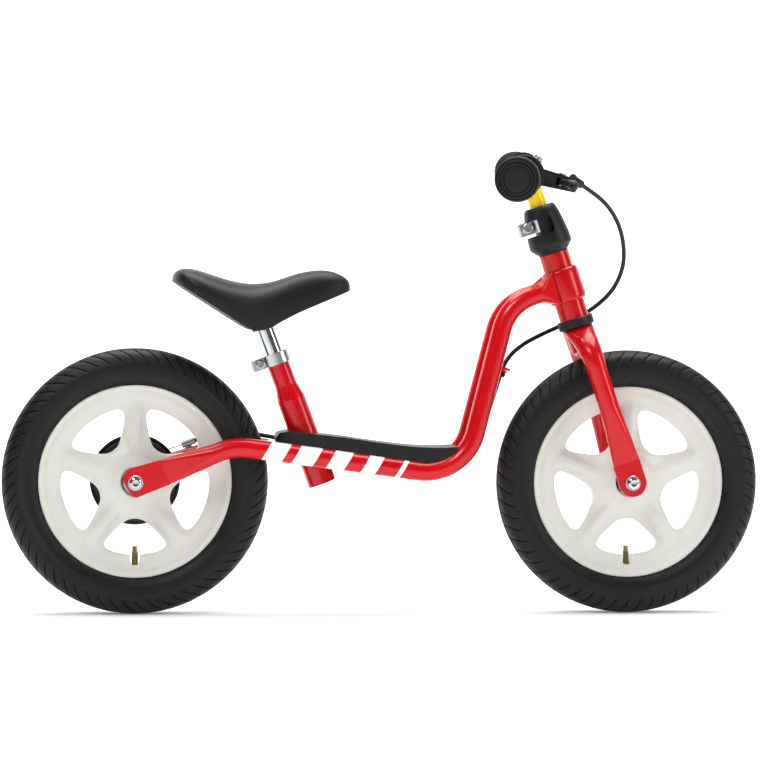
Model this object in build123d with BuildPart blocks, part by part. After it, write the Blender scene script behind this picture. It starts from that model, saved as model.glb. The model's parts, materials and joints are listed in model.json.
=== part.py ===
from build123d import *
import os
from math import atan2, cos, degrees, hypot, radians, sin, sqrt, tan

# A child's balance bike.  +X points forward, +Y to the rider's left, +Z up.
# The origin is on the ground, midway between the two axles, in the bike's mid-plane.
# "right" pieces lie on the -Y side and "left" pieces on the +Y side.

# ---- driving dimensions: wheels (mm) ----
wheelbase = 560.8
tyre_radius = 150.0
tyre_half_width = 23.5
tyre_shoulder_half_width = 18.0
tyre_wall = 3.5
rim_radius = 109.0
rim_half_width = 15.5
rim_lip = 2.6
rim_well_radius = 98.0
rim_skirt_radius = 86.0
rim_web_half = 6.5
window_inner_radius = 44.0
window_corner_radius = 79.0
window_corner_half_width = 34.6
window_inner_half_width = 13.0
spoke_count = 5
ridge_width = 16.0
ridge_height = 3.0
ridge_start = 30.0
ridge_end = 87.0
hub_half_length = 27.0
hub_radius = 18.5
hub_root_radius = 25.0
bearing_radius = 14.0
bearing_width = 8.0
valve_radius = 3.85
valve_tip_radius = 77.0
valve_base_radius = 111.0

# ---- driving dimensions: frame (mm, degrees) ----
axle_radius = 6.0
axle_bolt_radius = 3.0
axle_bolt_head_radius = 8.5
axle_bolt_head_height = 7.0
axle_bolt_reach = 15.0
tube_radius = 11.0
tube_wall = 1.8
stay_bend_x, stay_bend_y, stay_bend_z, stay_bend_radius = -170.0, 42.5, 190.8, 60.0
front_bend_x, front_bend_y, front_bend_z, front_bend_radius = 89.5, 34.0, 156.3, 58.5
neck_bend_back, neck_bend_y, neck_bend_radius = 70.7, 27.0, 54.0
dropout_inner = 43.5
dropout_thickness = 5.0
dropout_height = 29.5
dropout_start = 34.6
stay_round_start = 92.0
head_tilt = 18.2
head_tube_wall = 2.0
cup_wall = 2.3
head_tube_low, head_tube_high = 196.0, 274.0
band_centre, band_height, band_thickness = 235.8, 39.0, 4.0
seat_tilt = 20.6
seat_tube_foot_x, seat_tube_foot_z = -68.5, 147.5
seat_tube_radius = 16.0
seat_tube_wall = 2.0
stub_x, stub_radius = seat_tube_foot_x - 12.0, 7.5
seat_shoulder_low, seat_shoulder_high, seat_tube_top = 101.6, 118.3, 155.0
seat_collar_radius = 12.5
seat_post_radius = 10.0
slide_clearance = 0.05

# ---- driving dimensions: fork, clamp and steering cover (mm) ----
blade_radius = 11.4
blade_y = 42.0
blade_inner = 41.0
blade_plate_thickness = 5.5
blade_plate_half_width = 15.6
blade_round_start = 88.0
crown_bend_s, crown_top_s, crown_bend_radius = 156.0, 170.0, 24.0
crown_radius = 15.0
crown_low, crown_high = 158.0, 184.8
steerer_radius = 12.7
head_tube_bore = steerer_radius + cup_wall
head_tube_radius = head_tube_bore + head_tube_wall
steerer_top = 318.0
steerer_bore_floor = 172.0
clamp_low, clamp_high = 302.0, 317.0
cover_low, cover_waist, cover_window_low, cover_high = 276.0, 284.0, 298.0, 330.0
cover_low_radius, cover_waist_radius, cover_top_radius = 18.2, 24.6, 18.4
cover_wall = 2.2

# ---- driving dimensions: handlebar (mm, degrees) ----
bar_twist = 8.0
bar_roll = 1.5
bar_height = 371.7
bar_radius = 11.0
bar_straight, bar_end_y, bar_sweep = 45.0, 204.0, 14.0
stem_radius = 10.0
stem_foot = 225.0
grip_inner_y, grip_outer_y = 96.0, 206.0
grip_radius = 16.0
grip_flange_radius = 22.3
grip_knob_radius = 24.6
lever_drop = 32.5
lever_reach = 51.0
lever_pivot_reach, lever_pivot_y = 37.0, -84.0
lever_tip_y = -162.0
bracket_y = -83.0
bracket_width = 17.0

# ---- driving dimensions: brake (mm) ----
cable_radius = 2.5
wire_radius = 0.8
drum_radius, drum_wall, drum_floor, drum_rim_y = 47.0, 5.0, 12.0, 37.5
plate_radius, plate_inner_y = 51.5, 39.5
arm_pivot_back, arm_pivot_up = 12.0, 32.5
anchor_bolt_radius, anchor_distance = 3.0, 22.0
arm_y = 50.5
wire_barrel_radius = 3.0

# ---- clearances (mm) ----
running = 0.05
body_gap = 0.35
cord_gap = 0.8

# ---- frames of reference worked out from the dimensions above ----
rear_x, front_x = -wheelbase / 2, wheelbase / 2
steer = Plane(
    origin=(front_x, 0, tyre_radius),
    x_dir=(cos(radians(head_tilt)), 0, sin(radians(head_tilt))),
    z_dir=(-sin(radians(head_tilt)), 0, cos(radians(head_tilt))),
)
seat = Plane(
    origin=(seat_tube_foot_x, 0, seat_tube_foot_z),
    x_dir=(cos(radians(seat_tilt)), 0, sin(radians(seat_tilt))),
    z_dir=(-sin(radians(seat_tilt)), 0, cos(radians(seat_tilt))),
)
bar_across = Vector(0, 1, 0) * cos(radians(bar_twist)) + steer.x_dir * sin(radians(bar_twist))
bars = Plane(
    origin=steer.origin + steer.z_dir * bar_height,
    x_dir=steer.x_dir * cos(radians(bar_twist)) - Vector(0, 1, 0) * sin(radians(bar_twist)),
    z_dir=steer.z_dir * cos(radians(bar_roll)) - bar_across * sin(radians(bar_roll)),
)
stay_angle = atan2(stay_bend_z - tyre_radius, stay_bend_x - rear_x)
stay_out = Vector(cos(stay_angle), 0, sin(stay_angle))
stay_up = Vector(-sin(stay_angle), 0, cos(stay_angle))
rear_hub = Vector(rear_x, 0, tyre_radius)
dropout_y = dropout_inner + dropout_thickness / 2


def local(plane, x, y, z):
    """World position of a point given in a plane's own coordinates."""
    return plane.origin + plane.x_dir * x + plane.y_dir * y + plane.z_dir * z


def save(builder, label):
    """Name a finished piece and write its STEP file."""
    part = builder.part
    part.label = label
    export_step(part, f"parts/{label}.step")
    return part


def tube_between(plane, outer, inner, low, high):
    """A straight tube (or rod, with inner 0) along a plane's normal."""
    with BuildPart() as tube:
        with BuildSketch(plane.offset(low)):
            Circle(outer)
            if inner:
                Circle(inner, mode=Mode.SUBTRACT)
        extrude(amount=high - low)
    return tube


def swept_round(points, radii, radius, inner=0):
    """A round bar or tube along straight runs joined by tangent arcs."""
    with BuildPart() as swept:
        with BuildLine() as path:
            if radii:
                FilletPolyline(*points, radius=radii)
            else:
                Line(*points)
        with BuildSketch(Plane(origin=path.wire() @ 0, z_dir=path.wire() % 0)):
            Circle(radius)
            if inner:
                Circle(inner, mode=Mode.SUBTRACT)
        sweep()
    return swept


def cord_radii(points):
    """Arc radius at each inner point: 0.45 of the shorter run over tan(half turn)."""
    radii = []
    for before, here, after in zip(points, points[1:], points[2:]):
        into, out = Vector(*here) - Vector(*before), Vector(*after) - Vector(*here)
        turn = into.get_angle(out)
        radii.append(0.45 * min(into.length, out.length) / tan(radians(turn) / 2))
    return radii


def cord(points, radius, name):
    """A cord along its hand-chosen route; prints its radii and length."""
    radii = cord_radii(points)
    piece = swept_round(points, radii, radius)
    length = piece.part.volume / (3.141592653589793 * radius * radius)
    print(name, "radii", [round(r) for r in radii], "length", round(length, 1))
    return piece


# ---------------------------------------------------------------- frame tubes


def tube_route(side):
    """Bend points of one frame tube, from the stay to the head tube's side."""
    stay_start = rear_hub + stay_out * stay_round_start
    stay_start_y = dropout_y + (stay_bend_y - dropout_y) * (
        stay_round_start / (stay_bend_x - rear_x) * cos(stay_angle)
    )
    neck_bend = local(steer, -neck_bend_back, 0, band_centre)
    head_end = local(steer, -30.7, 0, band_centre)
    return [
        (stay_start.X, side * stay_start_y, stay_start.Z),
        (stay_bend_x, side * stay_bend_y, stay_bend_z),
        (front_bend_x, side * front_bend_y, front_bend_z),
        (neck_bend.X, side * neck_bend_y, neck_bend.Z),
        (head_end.X, side * (neck_bend_y - 3.5), head_end.Z),
    ]


bend_radii = [stay_bend_radius, front_bend_radius, neck_bend_radius]


def flat_end(origin, normal, across, width, thickness):
    """One rounded section of a tube end that is pressed flat."""
    with BuildSketch(Plane(origin=origin, x_dir=across, z_dir=normal)) as section:
        RectangleRounded(width, thickness, min(width, thickness) * 0.495)
    return section.sketch


def frame_tube(side):
    route = tube_route(side)
    start, second, last = Vector(*route[0]), Vector(*route[1]), Vector(*route[-1])
    stay_normal = (start - second).normalized()
    neck_normal = (last - Vector(*route[-2])).normalized()
    plate_end = rear_hub + stay_out * dropout_start + Vector(0, side * dropout_y, 0)
    band_start = local(
        steer, -12, side * (head_tube_radius + band_thickness / 2), band_centre
    )
    mid_stay = (start + plate_end) * 0.5
    with BuildPart() as tube:
        add(swept_round(route, bend_radii, tube_radius, tube_radius - tube_wall).part)
        round_width = 2 * tube_radius + 0.3
        loft(
            sections=[
                flat_end(start, stay_normal, stay_up, round_width, round_width),
                flat_end(mid_stay, stay_normal, stay_up, 26.5, 14.0),
                flat_end(plate_end, -stay_out, stay_up, dropout_height, dropout_thickness),
            ]
        )
        loft(
            sections=[
                flat_end(last, neck_normal, steer.z_dir, round_width, round_width),
                flat_end(
                    band_start, steer.x_dir, steer.z_dir, band_height, band_thickness
                ),
            ]
        )
        outer_y = side * dropout_inner if side < 0 else dropout_inner + dropout_thickness
        stay_plane = Plane(
            origin=rear_hub + Vector(0, outer_y, 0), x_dir=stay_out, z_dir=(0, -1, 0)
        )
        with BuildSketch(stay_plane):
            with BuildLine():
                half = dropout_height / 2
                Polyline(
                    (dropout_start, -half),
                    (-7.6, -16.0),
                    (-12.7, 8.5),
                    (-3.7, 17.4),
                    (dropout_start, half),
                    close=True,
                )
            make_face()
            corners = vertices().sort_by(Axis(rear_hub, stay_out))[:3]
            fillet(corners, 6.0)
        extrude(amount=dropout_thickness)
        with BuildSketch(stay_plane):
            Circle(axle_bolt_radius + 0.3)
            if side > 0:
                with Locations((anchor_distance, 0)):
                    Circle(anchor_bolt_radius + 0.2)
        extrude(amount=dropout_thickness, mode=Mode.SUBTRACT)
        with BuildSketch(Plane(origin=(20, 0, tube_centre_z(20)), z_dir=(0, side, 0))):
            Circle(2.0)
        extrude(amount=tube_centre_y(20), mode=Mode.SUBTRACT)
    return tube


def tube_centre_z(x):
    """Height of the frame tubes' centre line under the footboard."""
    share = (x - stay_bend_x) / (front_bend_x - stay_bend_x)
    return stay_bend_z + share * (front_bend_z - stay_bend_z)


def tube_centre_y(x):
    share = (x - stay_bend_x) / (front_bend_x - stay_bend_x)
    return stay_bend_y + share * (front_bend_y - stay_bend_y)


os.makedirs("parts", exist_ok=True)
frame_tube_right = save(frame_tube(-1), "frame_tube_right")
frame_tube_left = save(frame_tube(1), "frame_tube_left")

# ---------------------------------------------------------------- head tube

head_tube = save(
    tube_between(steer, head_tube_radius, head_tube_bore, head_tube_low, head_tube_high),
    "head_tube",
)

with BuildPart() as head_band:
    with BuildSketch(steer.offset(band_centre - band_height / 2)):
        Circle(head_tube_radius + band_thickness)
        Circle(head_tube_radius, mode=Mode.SUBTRACT)
        with Locations((-head_tube_radius * 2, 0)):
            Rectangle(4 * head_tube_radius, 4 * head_tube_radius, mode=Mode.SUBTRACT)
        with Locations((-6, head_tube_radius + band_thickness / 2)):
            Rectangle(12, band_thickness)
        with Locations((-6, -head_tube_radius - band_thickness / 2)):
            Rectangle(12, band_thickness)
    extrude(amount=band_height)
save(head_band, "head_band")


def headset_cup(low, high, flange_radius, skirt_low, skirt_high):
    """A plastic bushing: a flange outside the head tube and a skirt pressed into it."""
    with BuildPart() as cup:
        with BuildSketch(steer.offset(low)):
            Circle(flange_radius)
            Circle(steerer_radius + running, mode=Mode.SUBTRACT)
        extrude(amount=high - low)
        if flange_radius > head_tube_radius + 1:
            rim_edges = cup.edges().filter_by(GeomType.CIRCLE).sort_by(SortBy.RADIUS)[-2:]
            chamfer(rim_edges, 1.0)
        with BuildSketch(steer.offset(skirt_low)):
            Circle(head_tube_bore)
            Circle(steerer_radius + running, mode=Mode.SUBTRACT)
        extrude(amount=skirt_high - skirt_low)
    return cup


save(
    headset_cup(head_tube_high, head_tube_high + 4.5, head_tube_radius, 262, head_tube_high),
    "headset_upper_cup",
)
save(headset_cup(185.4, head_tube_low, 20.8, head_tube_low, 208), "headset_lower_cup")

# ---------------------------------------------------------------- seat tube

with BuildPart() as seat_tube:
    with BuildSketch(Plane(origin=seat.origin, x_dir=seat.x_dir, z_dir=(0, -1, 0))):
        with BuildLine():
            bore = seat_post_radius + slide_clearance
            wide_bore = seat_tube_radius - seat_tube_wall
            Polyline(
                (wide_bore, 0),
                (seat_tube_radius, 0),
                (seat_tube_radius, seat_shoulder_low),
                (seat_collar_radius, seat_shoulder_high),
                (seat_collar_radius, seat_tube_top),
                (bore, seat_tube_top),
                (bore, seat_shoulder_high - 6),
                (wide_bore, seat_shoulder_low - 4),
                close=True,
            )
        make_face()
    revolve(axis=Axis(seat.origin, seat.z_dir))
    with BuildSketch(seat.offset(seat_shoulder_high + 14)):
        with Locations((-seat_collar_radius, 0)):
            Rectangle(6, 2.0)
    extrude(amount=seat_tube_top, mode=Mode.SUBTRACT)
save(seat_tube, "seat_tube")


def seat_stub(side):
    """A short tube that ties the seat tube to one frame tube."""
    with BuildPart() as stub:
        with BuildSketch(Plane(origin=(stub_x, 0, tube_centre_z(stub_x)), z_dir=(0, side, 0))):
            Circle(stub_radius)
        extrude(amount=tube_centre_y(stub_x))
        add(swept_round(tube_route(side), bend_radii, tube_radius).part, mode=Mode.SUBTRACT)
        add(
            tube_between(seat, seat_tube_radius, 0, -5, seat_shoulder_low).part,
            mode=Mode.SUBTRACT,
        )
    return stub


save(seat_stub(-1), "seat_stub_right")
save(seat_stub(1), "seat_stub_left")


def split_clamp(plane, bore, outer, low, high, ear_reach, ear_half, bolt_x, bolt_z, bolt_bore):
    """A clamp ring, split at the back between two ears that a bolt draws together."""
    with BuildPart() as clamp:
        with BuildSketch(plane.offset(low)):
            Circle(outer)
            with Locations((-(outer + ear_reach) / 2 + 1, 0)):
                RectangleRounded(ear_reach - outer + 6, 2 * ear_half, 2.0)
            Circle(bore, mode=Mode.SUBTRACT)
            with Locations((-(bore + ear_reach) / 2, 0)):
                Rectangle(ear_reach - bore + 8, 2.2, mode=Mode.SUBTRACT)
        extrude(amount=high - low)
        bolt_plane = Plane(
            origin=local(plane, bolt_x, -ear_half - 5, bolt_z), z_dir=plane.y_dir
        )
        with BuildSketch(bolt_plane):
            Circle(bolt_bore)
        extrude(amount=2 * ear_half + 10, mode=Mode.SUBTRACT)
    return clamp


def socket_bolt(plane, head_radius, head_height, shank_radius, shank_length, socket=2.5):
    """A socket-head bolt: the head stands below the plane and the shank above it."""
    with BuildPart() as bolt:
        with BuildSketch(plane.offset(-head_height)):
            Circle(head_radius)
        extrude(amount=head_height)
        rim_edge = (
            bolt.edges()
            .filter_by(GeomType.CIRCLE)
            .sort_by(Axis(plane.origin, plane.z_dir))[0]
        )
        fillet(rim_edge, min(head_height * 0.45, head_radius * 0.35))
        with BuildSketch(plane):
            Circle(shank_radius)
        extrude(amount=shank_length)
        with BuildSketch(plane.offset(-head_height)):
            RegularPolygon(socket, 6)
        extrude(amount=head_height * 0.6, mode=Mode.SUBTRACT)
    return bolt


def hex_nut(plane, flat_radius, bore, height):
    with BuildPart() as nut:
        with BuildSketch(plane):
            RegularPolygon(flat_radius, 6)
            Circle(bore, mode=Mode.SUBTRACT)
        extrude(amount=height)
    return nut


seat_clamp_half = 7.5
seat_bolt_x, seat_bolt_z = -19.5, 151.0
save(
    split_clamp(
        seat, seat_collar_radius, 15.5, 144.5, 157.5, 27, seat_clamp_half,
        seat_bolt_x, seat_bolt_z, 2.6,
    ),
    "seat_clamp",
)
seat_bolt_plane = Plane(
    origin=local(seat, seat_bolt_x, -seat_clamp_half, seat_bolt_z), z_dir=(0, 1, 0)
)
save(
    socket_bolt(seat_bolt_plane, 5.5, 5.0, 2.5, 2 * seat_clamp_half + 7),
    "seat_clamp_bolt",
)
save(
    hex_nut(seat_bolt_plane.offset(2 * seat_clamp_half), 5.0, 2.5, 5.0),
    "seat_clamp_nut",
)

# ---------------------------------------------------------------- saddle and post

save(tube_between(seat, seat_post_radius, seat_post_radius - 1.6, 62, 184), "seat_post")


def saddle_slice(x, half_width, top, bottom):
    """One rounded cross-section of the saddle at a place along its length."""
    with BuildSketch(
        Plane(origin=(x, 0, (top + bottom) / 2), x_dir=(0, 1, 0), z_dir=(-1, 0, 0))
    ) as section:
        height = top - bottom
        RectangleRounded(2 * half_width, height, min(height, 2 * half_width) * 0.46)
    return section.sketch


# x, half width, top, seam and lowest height of each saddle section
saddle_stations = [
    (-37.2, 9.0, 371.0, 363.5, 360.5),
    (-44.0, 20.0, 381.0, 362.5, 358.5),
    (-66.0, 29.0, 390.0, 361.0, 351.0),
    (-98.0, 34.0, 386.0, 357.0, 339.0),
    (-128.0, 43.0, 375.5, 351.0, 326.0),
    (-152.0, 53.0, 373.8, 348.5, 320.5),
    (-180.0, 61.0, 378.0, 351.5, 336.5),
    (-205.0, 64.0, 386.5, 360.0, 352.5),
    (-224.0, 59.0, 390.5, 370.5, 364.0),
    (-236.0, 44.0, 388.0, 378.0, 374.0),
]
with BuildPart() as saddle_cushion:
    loft(
        sections=[saddle_slice(x, half, top, seam) for x, half, top, seam, low in saddle_stations]
    )
save(saddle_cushion, "saddle_cushion")

with BuildPart() as saddle_base:
    loft(
        sections=[
            saddle_slice(x, half * 0.62, seam + 6, low)
            for x, half, top, seam, low in saddle_stations[1:-1]
        ]
    )
    add(saddle_cushion.part, mode=Mode.SUBTRACT)
    add(
        tube_between(seat, seat_post_radius, 0, 150, 184).part,
        mode=Mode.SUBTRACT,
    )
save(saddle_base, "saddle_base")


# ---------------------------------------------------------------- footboard

# side outline of the deck's top, from the rear end forwards
deck_top = [(-107.6, 207.5), (-38.9, 199.8), (22.1, 191.6), (52.0, 189.6), (82.0, 190.6)]
deck_half_width = 41.0
deck_skin = 3.6
deck_sink = 2.0

cable_rear_route = [
    (141.5, 11.0, 288.0),
    (132.5, 8.0, 262.0),
    (124.0, 8.0, 234.0),
    (114.0, 8.3, 207.0),
    (98.0, 8.8, 185.0),
    (74.0, 9.0, 172.0),
    (42.0, 9.0, 168.4),
    (8.0, 9.5, 169.5),
    (-26.0, 13.0, 175.5),
    (-56.0, 18.6, 185.0),
    (-88.0, 20.8, 192.0),
    (-116.0, 27.5, 197.5),
    (-146.0, 32.5, 202.5),
    (-176.0, 38.0, 203.4),
    (-204.0, 43.6, 197.6),
    (-224.0, 46.6, 189.8),
]

with BuildPart() as footboard:
    with BuildSketch(Plane.XZ.offset(-deck_half_width)):
        with BuildLine():
            Spline(*deck_top)
            Polyline(
                deck_top[-1],
                (front_bend_x - 6, 176),
                (40, tube_centre_z(40) + deck_sink),
                (-118, tube_centre_z(-118) + deck_sink),
                (-123, 200),
                (-119, 205.5),
                deck_top[0],
            )
        make_face()
    extrude(amount=2 * deck_half_width)
    with BuildSketch(Plane.XY.offset(150)):
        with Locations((-124 + 36, 0)):
            Circle(44)
        with Locations((-124 + 36 + 120, 0)):
            Rectangle(240, 2 * deck_half_width)
    extrude(amount=80, mode=Mode.INTERSECT)
    for side in (-1, 1):
        add(swept_round(tube_route(side), bend_radii, tube_radius + 0.1).part, mode=Mode.SUBTRACT)
    with BuildSketch(Plane.XZ.offset(-21)):
        with BuildLine():
            Polyline(
                (-112, 120),
                (-112, 201.2),
                (-38.9, 199.8 - deck_skin),
                (22.1, 191.6 - deck_skin),
                (52.0, 189.6 - deck_skin),
                (70.0, 189.6 - deck_skin),
                (70.0, 120),
                close=True,
            )
        make_face()
    extrude(amount=42, mode=Mode.SUBTRACT)
    for rib_x in (-30.0, 10.0, 50.0):
        with BuildSketch(Plane.XZ.offset(-21)):
            with Locations((rib_x, tube_centre_z(rib_x) + 14)):
                Rectangle(2.4, 20)
        extrude(amount=42)
    with BuildSketch(Plane.XZ.offset(-60)):
        with BuildLine():
            Polyline(
                (-140, 300), (-140, 211), (-107, 207.6), (-38.9, 200.0), (22.1, 191.9),
                (52, 190.0), (84, 191.0), (84, 300), close=True,
            )
        make_face()
    extrude(amount=120, mode=Mode.SUBTRACT)
    add(
        tube_between(seat, seat_tube_radius + 0.4, 0, -20, 90).part,
        mode=Mode.SUBTRACT,
    )
    with BuildSketch(Plane(origin=(stub_x, -50, tube_centre_z(stub_x)), z_dir=(0, 1, 0))):
        Circle(stub_radius + 0.3)
    extrude(amount=100, mode=Mode.SUBTRACT)
    add(
        swept_round(cable_rear_route, cord_radii(cable_rear_route), cable_radius + cord_gap).part,
        mode=Mode.SUBTRACT,
    )
save(footboard, "footboard")

# ---------------------------------------------------------------- cable guides on the frame

guide_top, guide_next = Vector(*cable_rear_route[0]), Vector(*cable_rear_route[1])
guide_plane = Plane(
    origin=(guide_top + guide_next) * 0.5, x_dir=(0, 1, 0), z_dir=(guide_top - guide_next)
)
save(tube_between(guide_plane, 5.2, cable_radius + 0.2, -5.5, 5.5), "cable_grommet")

with BuildPart() as guide_plate:
    with BuildSketch(guide_plane.offset(-1.25)):
        with Locations((-guide_plane.origin.Y, 8)):
            RectangleRounded(50, 26, 4)
    extrude(amount=2.5)
    for side in (-1, 1):
        add(swept_round(tube_route(side), bend_radii, tube_radius).part, mode=Mode.SUBTRACT)
    with BuildSketch(guide_plane.offset(-14)):
        Circle(5.2)
    extrude(amount=28, mode=Mode.SUBTRACT)
    guide_solid = guide_plate.part.solids().sort_by(SortBy.VOLUME)[-1]
guide_solid.label = "guide_plate"
export_step(guide_solid, "parts/guide_plate.step")

# ---------------------------------------------------------------- axles and their bolts


def axle(x, half_length):
    """An axle rod, tapped at both ends for its bolts."""
    with BuildPart() as rod:
        with BuildSketch(Plane(origin=(x, -half_length, tyre_radius), z_dir=(0, 1, 0))):
            Circle(axle_radius)
        extrude(amount=2 * half_length)
        for side in (-1, 1):
            end = Plane(origin=(x, side * half_length, tyre_radius), z_dir=(0, -side, 0))
            with BuildSketch(end):
                Circle(axle_bolt_radius + 0.02)
            extrude(amount=axle_bolt_reach, mode=Mode.SUBTRACT)
    return rod


def axle_bolt(x, side, seat_y):
    """A domed, chromed axle bolt with its washer face on the dropout."""
    plane = Plane(origin=(x, side * seat_y, tyre_radius), z_dir=(0, -side, 0))
    return socket_bolt(
        plane, axle_bolt_head_radius, axle_bolt_head_height, axle_bolt_radius, 18, 3.0
    )


def spacers(x, outer_end_right, outer_end_left):
    """The two sleeves between the hub bearings and what clamps the axle."""
    with BuildPart() as sleeves:
        for side, end in ((-1, outer_end_right), (1, outer_end_left)):
            start = hub_half_length + body_gap
            with BuildSketch(
                Plane(origin=(x, side * start, tyre_radius), z_dir=(0, side, 0))
            ):
                Circle(axle_radius + 2.4)
                Circle(axle_radius + 0.02, mode=Mode.SUBTRACT)
            extrude(amount=end - start)
    return sleeves


dropout_outer = dropout_inner + dropout_thickness
blade_outer = blade_inner + blade_plate_thickness
save(axle(rear_x, dropout_inner), "rear_axle")
save(axle(front_x, blade_inner), "front_axle")
for side, hand in ((-1, "right"), (1, "left")):
    save(axle_bolt(rear_x, side, dropout_outer), f"rear_axle_bolt_{hand}")
    save(axle_bolt(front_x, side, blade_outer), f"front_axle_bolt_{hand}")
save(spacers(rear_x, dropout_inner, plate_inner_y), "rear_spacers")
save(spacers(front_x, blade_inner, blade_inner), "front_spacers")

# ---------------------------------------------------------------- rear drum brake

arm_pivot = rear_hub + Vector(arm_pivot_back, 0, arm_pivot_up)
arm_end = rear_hub + Vector(arm_pivot_back + 19.5, 0, arm_pivot_up - 0.6)
spindle_radius = 4.0
plate_thickness = dropout_inner - plate_inner_y
shoe_inner, shoe_outer = 30.0, drum_radius - drum_wall - 0.8


def hub_plane(x, y, side=1):
    """A plane across a wheel's axis at distance y, facing outwards on one side."""
    return Plane(origin=(x, y, tyre_radius), x_dir=(1, 0, 0), z_dir=(0, side, 0))


with BuildPart() as brake_plate:
    with BuildSketch(hub_plane(rear_x, plate_inner_y)):
        Circle(plate_radius)
        Circle(axle_radius + 0.02, mode=Mode.SUBTRACT)
    extrude(amount=plate_thickness)
    with BuildSketch(hub_plane(rear_x, plate_inner_y)):
        Circle(plate_radius)
        Circle(plate_radius - 2.2, mode=Mode.SUBTRACT)
    extrude(amount=-9.0)
    fillet(
        brake_plate.edges().filter_by(GeomType.CIRCLE).sort_by(SortBy.RADIUS)[-2:].sort_by(
            Axis.Y
        )[-1],
        1.5,
    )
    with BuildSketch(Plane(origin=(arm_pivot.X, plate_inner_y, arm_pivot.Z), z_dir=(0, 1, 0))):
        Circle(7.0)
    extrude(amount=plate_thickness + 5.0)
    anchor = rear_hub + stay_out * anchor_distance
    with BuildSketch(Plane(origin=(anchor.X, plate_inner_y - 6, anchor.Z), z_dir=(0, 1, 0))):
        Circle(6.0)
    extrude(amount=6.0 + plate_thickness)
    with BuildSketch(Plane(origin=(anchor.X, plate_inner_y - 5, anchor.Z), z_dir=(0, 1, 0))):
        Circle(anchor_bolt_radius + 0.02)
    extrude(amount=30, mode=Mode.SUBTRACT)
    with BuildSketch(Plane(origin=(arm_pivot.X, 30, arm_pivot.Z), z_dir=(0, 1, 0))):
        Circle(spindle_radius + running)
    extrude(amount=30, mode=Mode.SUBTRACT)
    add(frame_tube_left, mode=Mode.SUBTRACT)
save(brake_plate, "brake_plate")

anchor_plane = Plane(origin=(anchor.X, dropout_outer, anchor.Z), z_dir=(0, -1, 0))
save(socket_bolt(anchor_plane, 5.5, 4.0, anchor_bolt_radius, 12.5), "brake_anchor_bolt")

with BuildPart() as brake_shoes:
    cam_angle = degrees(atan2(arm_pivot_up, arm_pivot_back))
    with BuildSketch(Plane.XZ.offset(-drum_rim_y)):
        with Locations((rear_x, tyre_radius)):
            Circle(shoe_outer)
            Circle(shoe_inner, mode=Mode.SUBTRACT)
        with Locations(Location((rear_x, tyre_radius, 0), (0, 0, cam_angle))):
            Rectangle(120, 17, mode=Mode.SUBTRACT)
    extrude(amount=drum_rim_y - drum_floor - 6)
save(brake_shoes, "brake_shoes")

with BuildPart() as brake_arm:
    with BuildSketch(Plane(origin=(arm_pivot.X, drum_floor + 8, arm_pivot.Z), z_dir=(0, 1, 0))):
        Circle(spindle_radius)
    extrude(amount=arm_y + 3 - drum_floor - 8)
    cam_plane = Plane(
        origin=(arm_pivot.X, drum_floor + 8, arm_pivot.Z),
        x_dir=(cos(radians(cam_angle)), 0, sin(radians(cam_angle))),
        z_dir=(0, -1, 0),
    )
    with BuildSketch(cam_plane):
        Rectangle(9.0, 13.0)
    extrude(amount=-(drum_rim_y - drum_floor - 9))
    arm_run = arm_end - arm_pivot
    arm_plane = Plane(
        origin=(arm_pivot.X, arm_y + 3.0, arm_pivot.Z),
        x_dir=(arm_run.X, 0, arm_run.Z),
        z_dir=(0, -1, 0),
    )
    with BuildSketch(arm_plane):
        with Locations((arm_run.length / 2, 0)):
            SlotCenterToCenter(arm_run.length, 11.0)
        with Locations((arm_run.length, 0)):
            Circle(1.2, mode=Mode.SUBTRACT)
    extrude(amount=3.0)
    with BuildSketch(Plane(origin=(arm_end.X, arm_y - 4.0, arm_end.Z), z_dir=(0, 1, 0))):
        Circle(wire_barrel_radius)
    extrude(amount=4.0)
save(brake_arm, "brake_arm")

# ---------------------------------------------------------------- fork


def blade_route(side):
    """Bend points of one fork blade, from its flattened part to the crown."""
    return [
        local(steer, 1.0, side * blade_y, blade_round_start),
        local(steer, 1.0, side * blade_y, crown_bend_s),
        local(steer, 0.0, 0.0, crown_top_s),
    ]


def fork_blade(side):
    route = blade_route(side)
    plate_y = side * (blade_inner + blade_plate_thickness / 2)
    start = local(steer, 1.0, side * blade_y, blade_round_start)
    tall = 2 * blade_plate_half_width
    blade_round = 2 * blade_radius + 0.3
    with BuildPart() as blade:
        add(swept_round(route, [crown_bend_radius], blade_radius, blade_radius - 2.0).part)
        loft(
            sections=[
                flat_end(start, -steer.z_dir, steer.x_dir, blade_round, blade_round),
                flat_end(
                    local(steer, 1.0, side * (blade_y + 0.6), 54), -steer.z_dir, steer.x_dir,
                    27.0, 15.5,
                ),
                flat_end(
                    local(steer, 0.4, plate_y, 24), -steer.z_dir, steer.x_dir,
                    tall - 0.6, blade_plate_thickness,
                ),
            ]
        )
        outer_y = -blade_inner if side < 0 else blade_outer
        plate_plane = Plane(
            origin=steer.origin + Vector(0, outer_y, 0), x_dir=steer.x_dir, z_dir=(0, -1, 0)
        )
        with BuildSketch(plate_plane):
            Circle(blade_plate_half_width)
            with Locations((0, 12)):
                Rectangle(2 * blade_plate_half_width, 24)
            Circle(axle_bolt_radius + 0.3, mode=Mode.SUBTRACT)
        extrude(amount=blade_plate_thickness)
        add(tube_between(steer, crown_radius, 0, crown_low, crown_high).part, mode=Mode.SUBTRACT)
    return max(blade.part.solids(), key=lambda solid: solid.volume)


for side, hand in ((-1, "right"), (1, "left")):
    blade_solid = fork_blade(side)
    blade_solid.label = f"fork_blade_{hand}"
    export_step(blade_solid, f"parts/fork_blade_{hand}.step")

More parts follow.
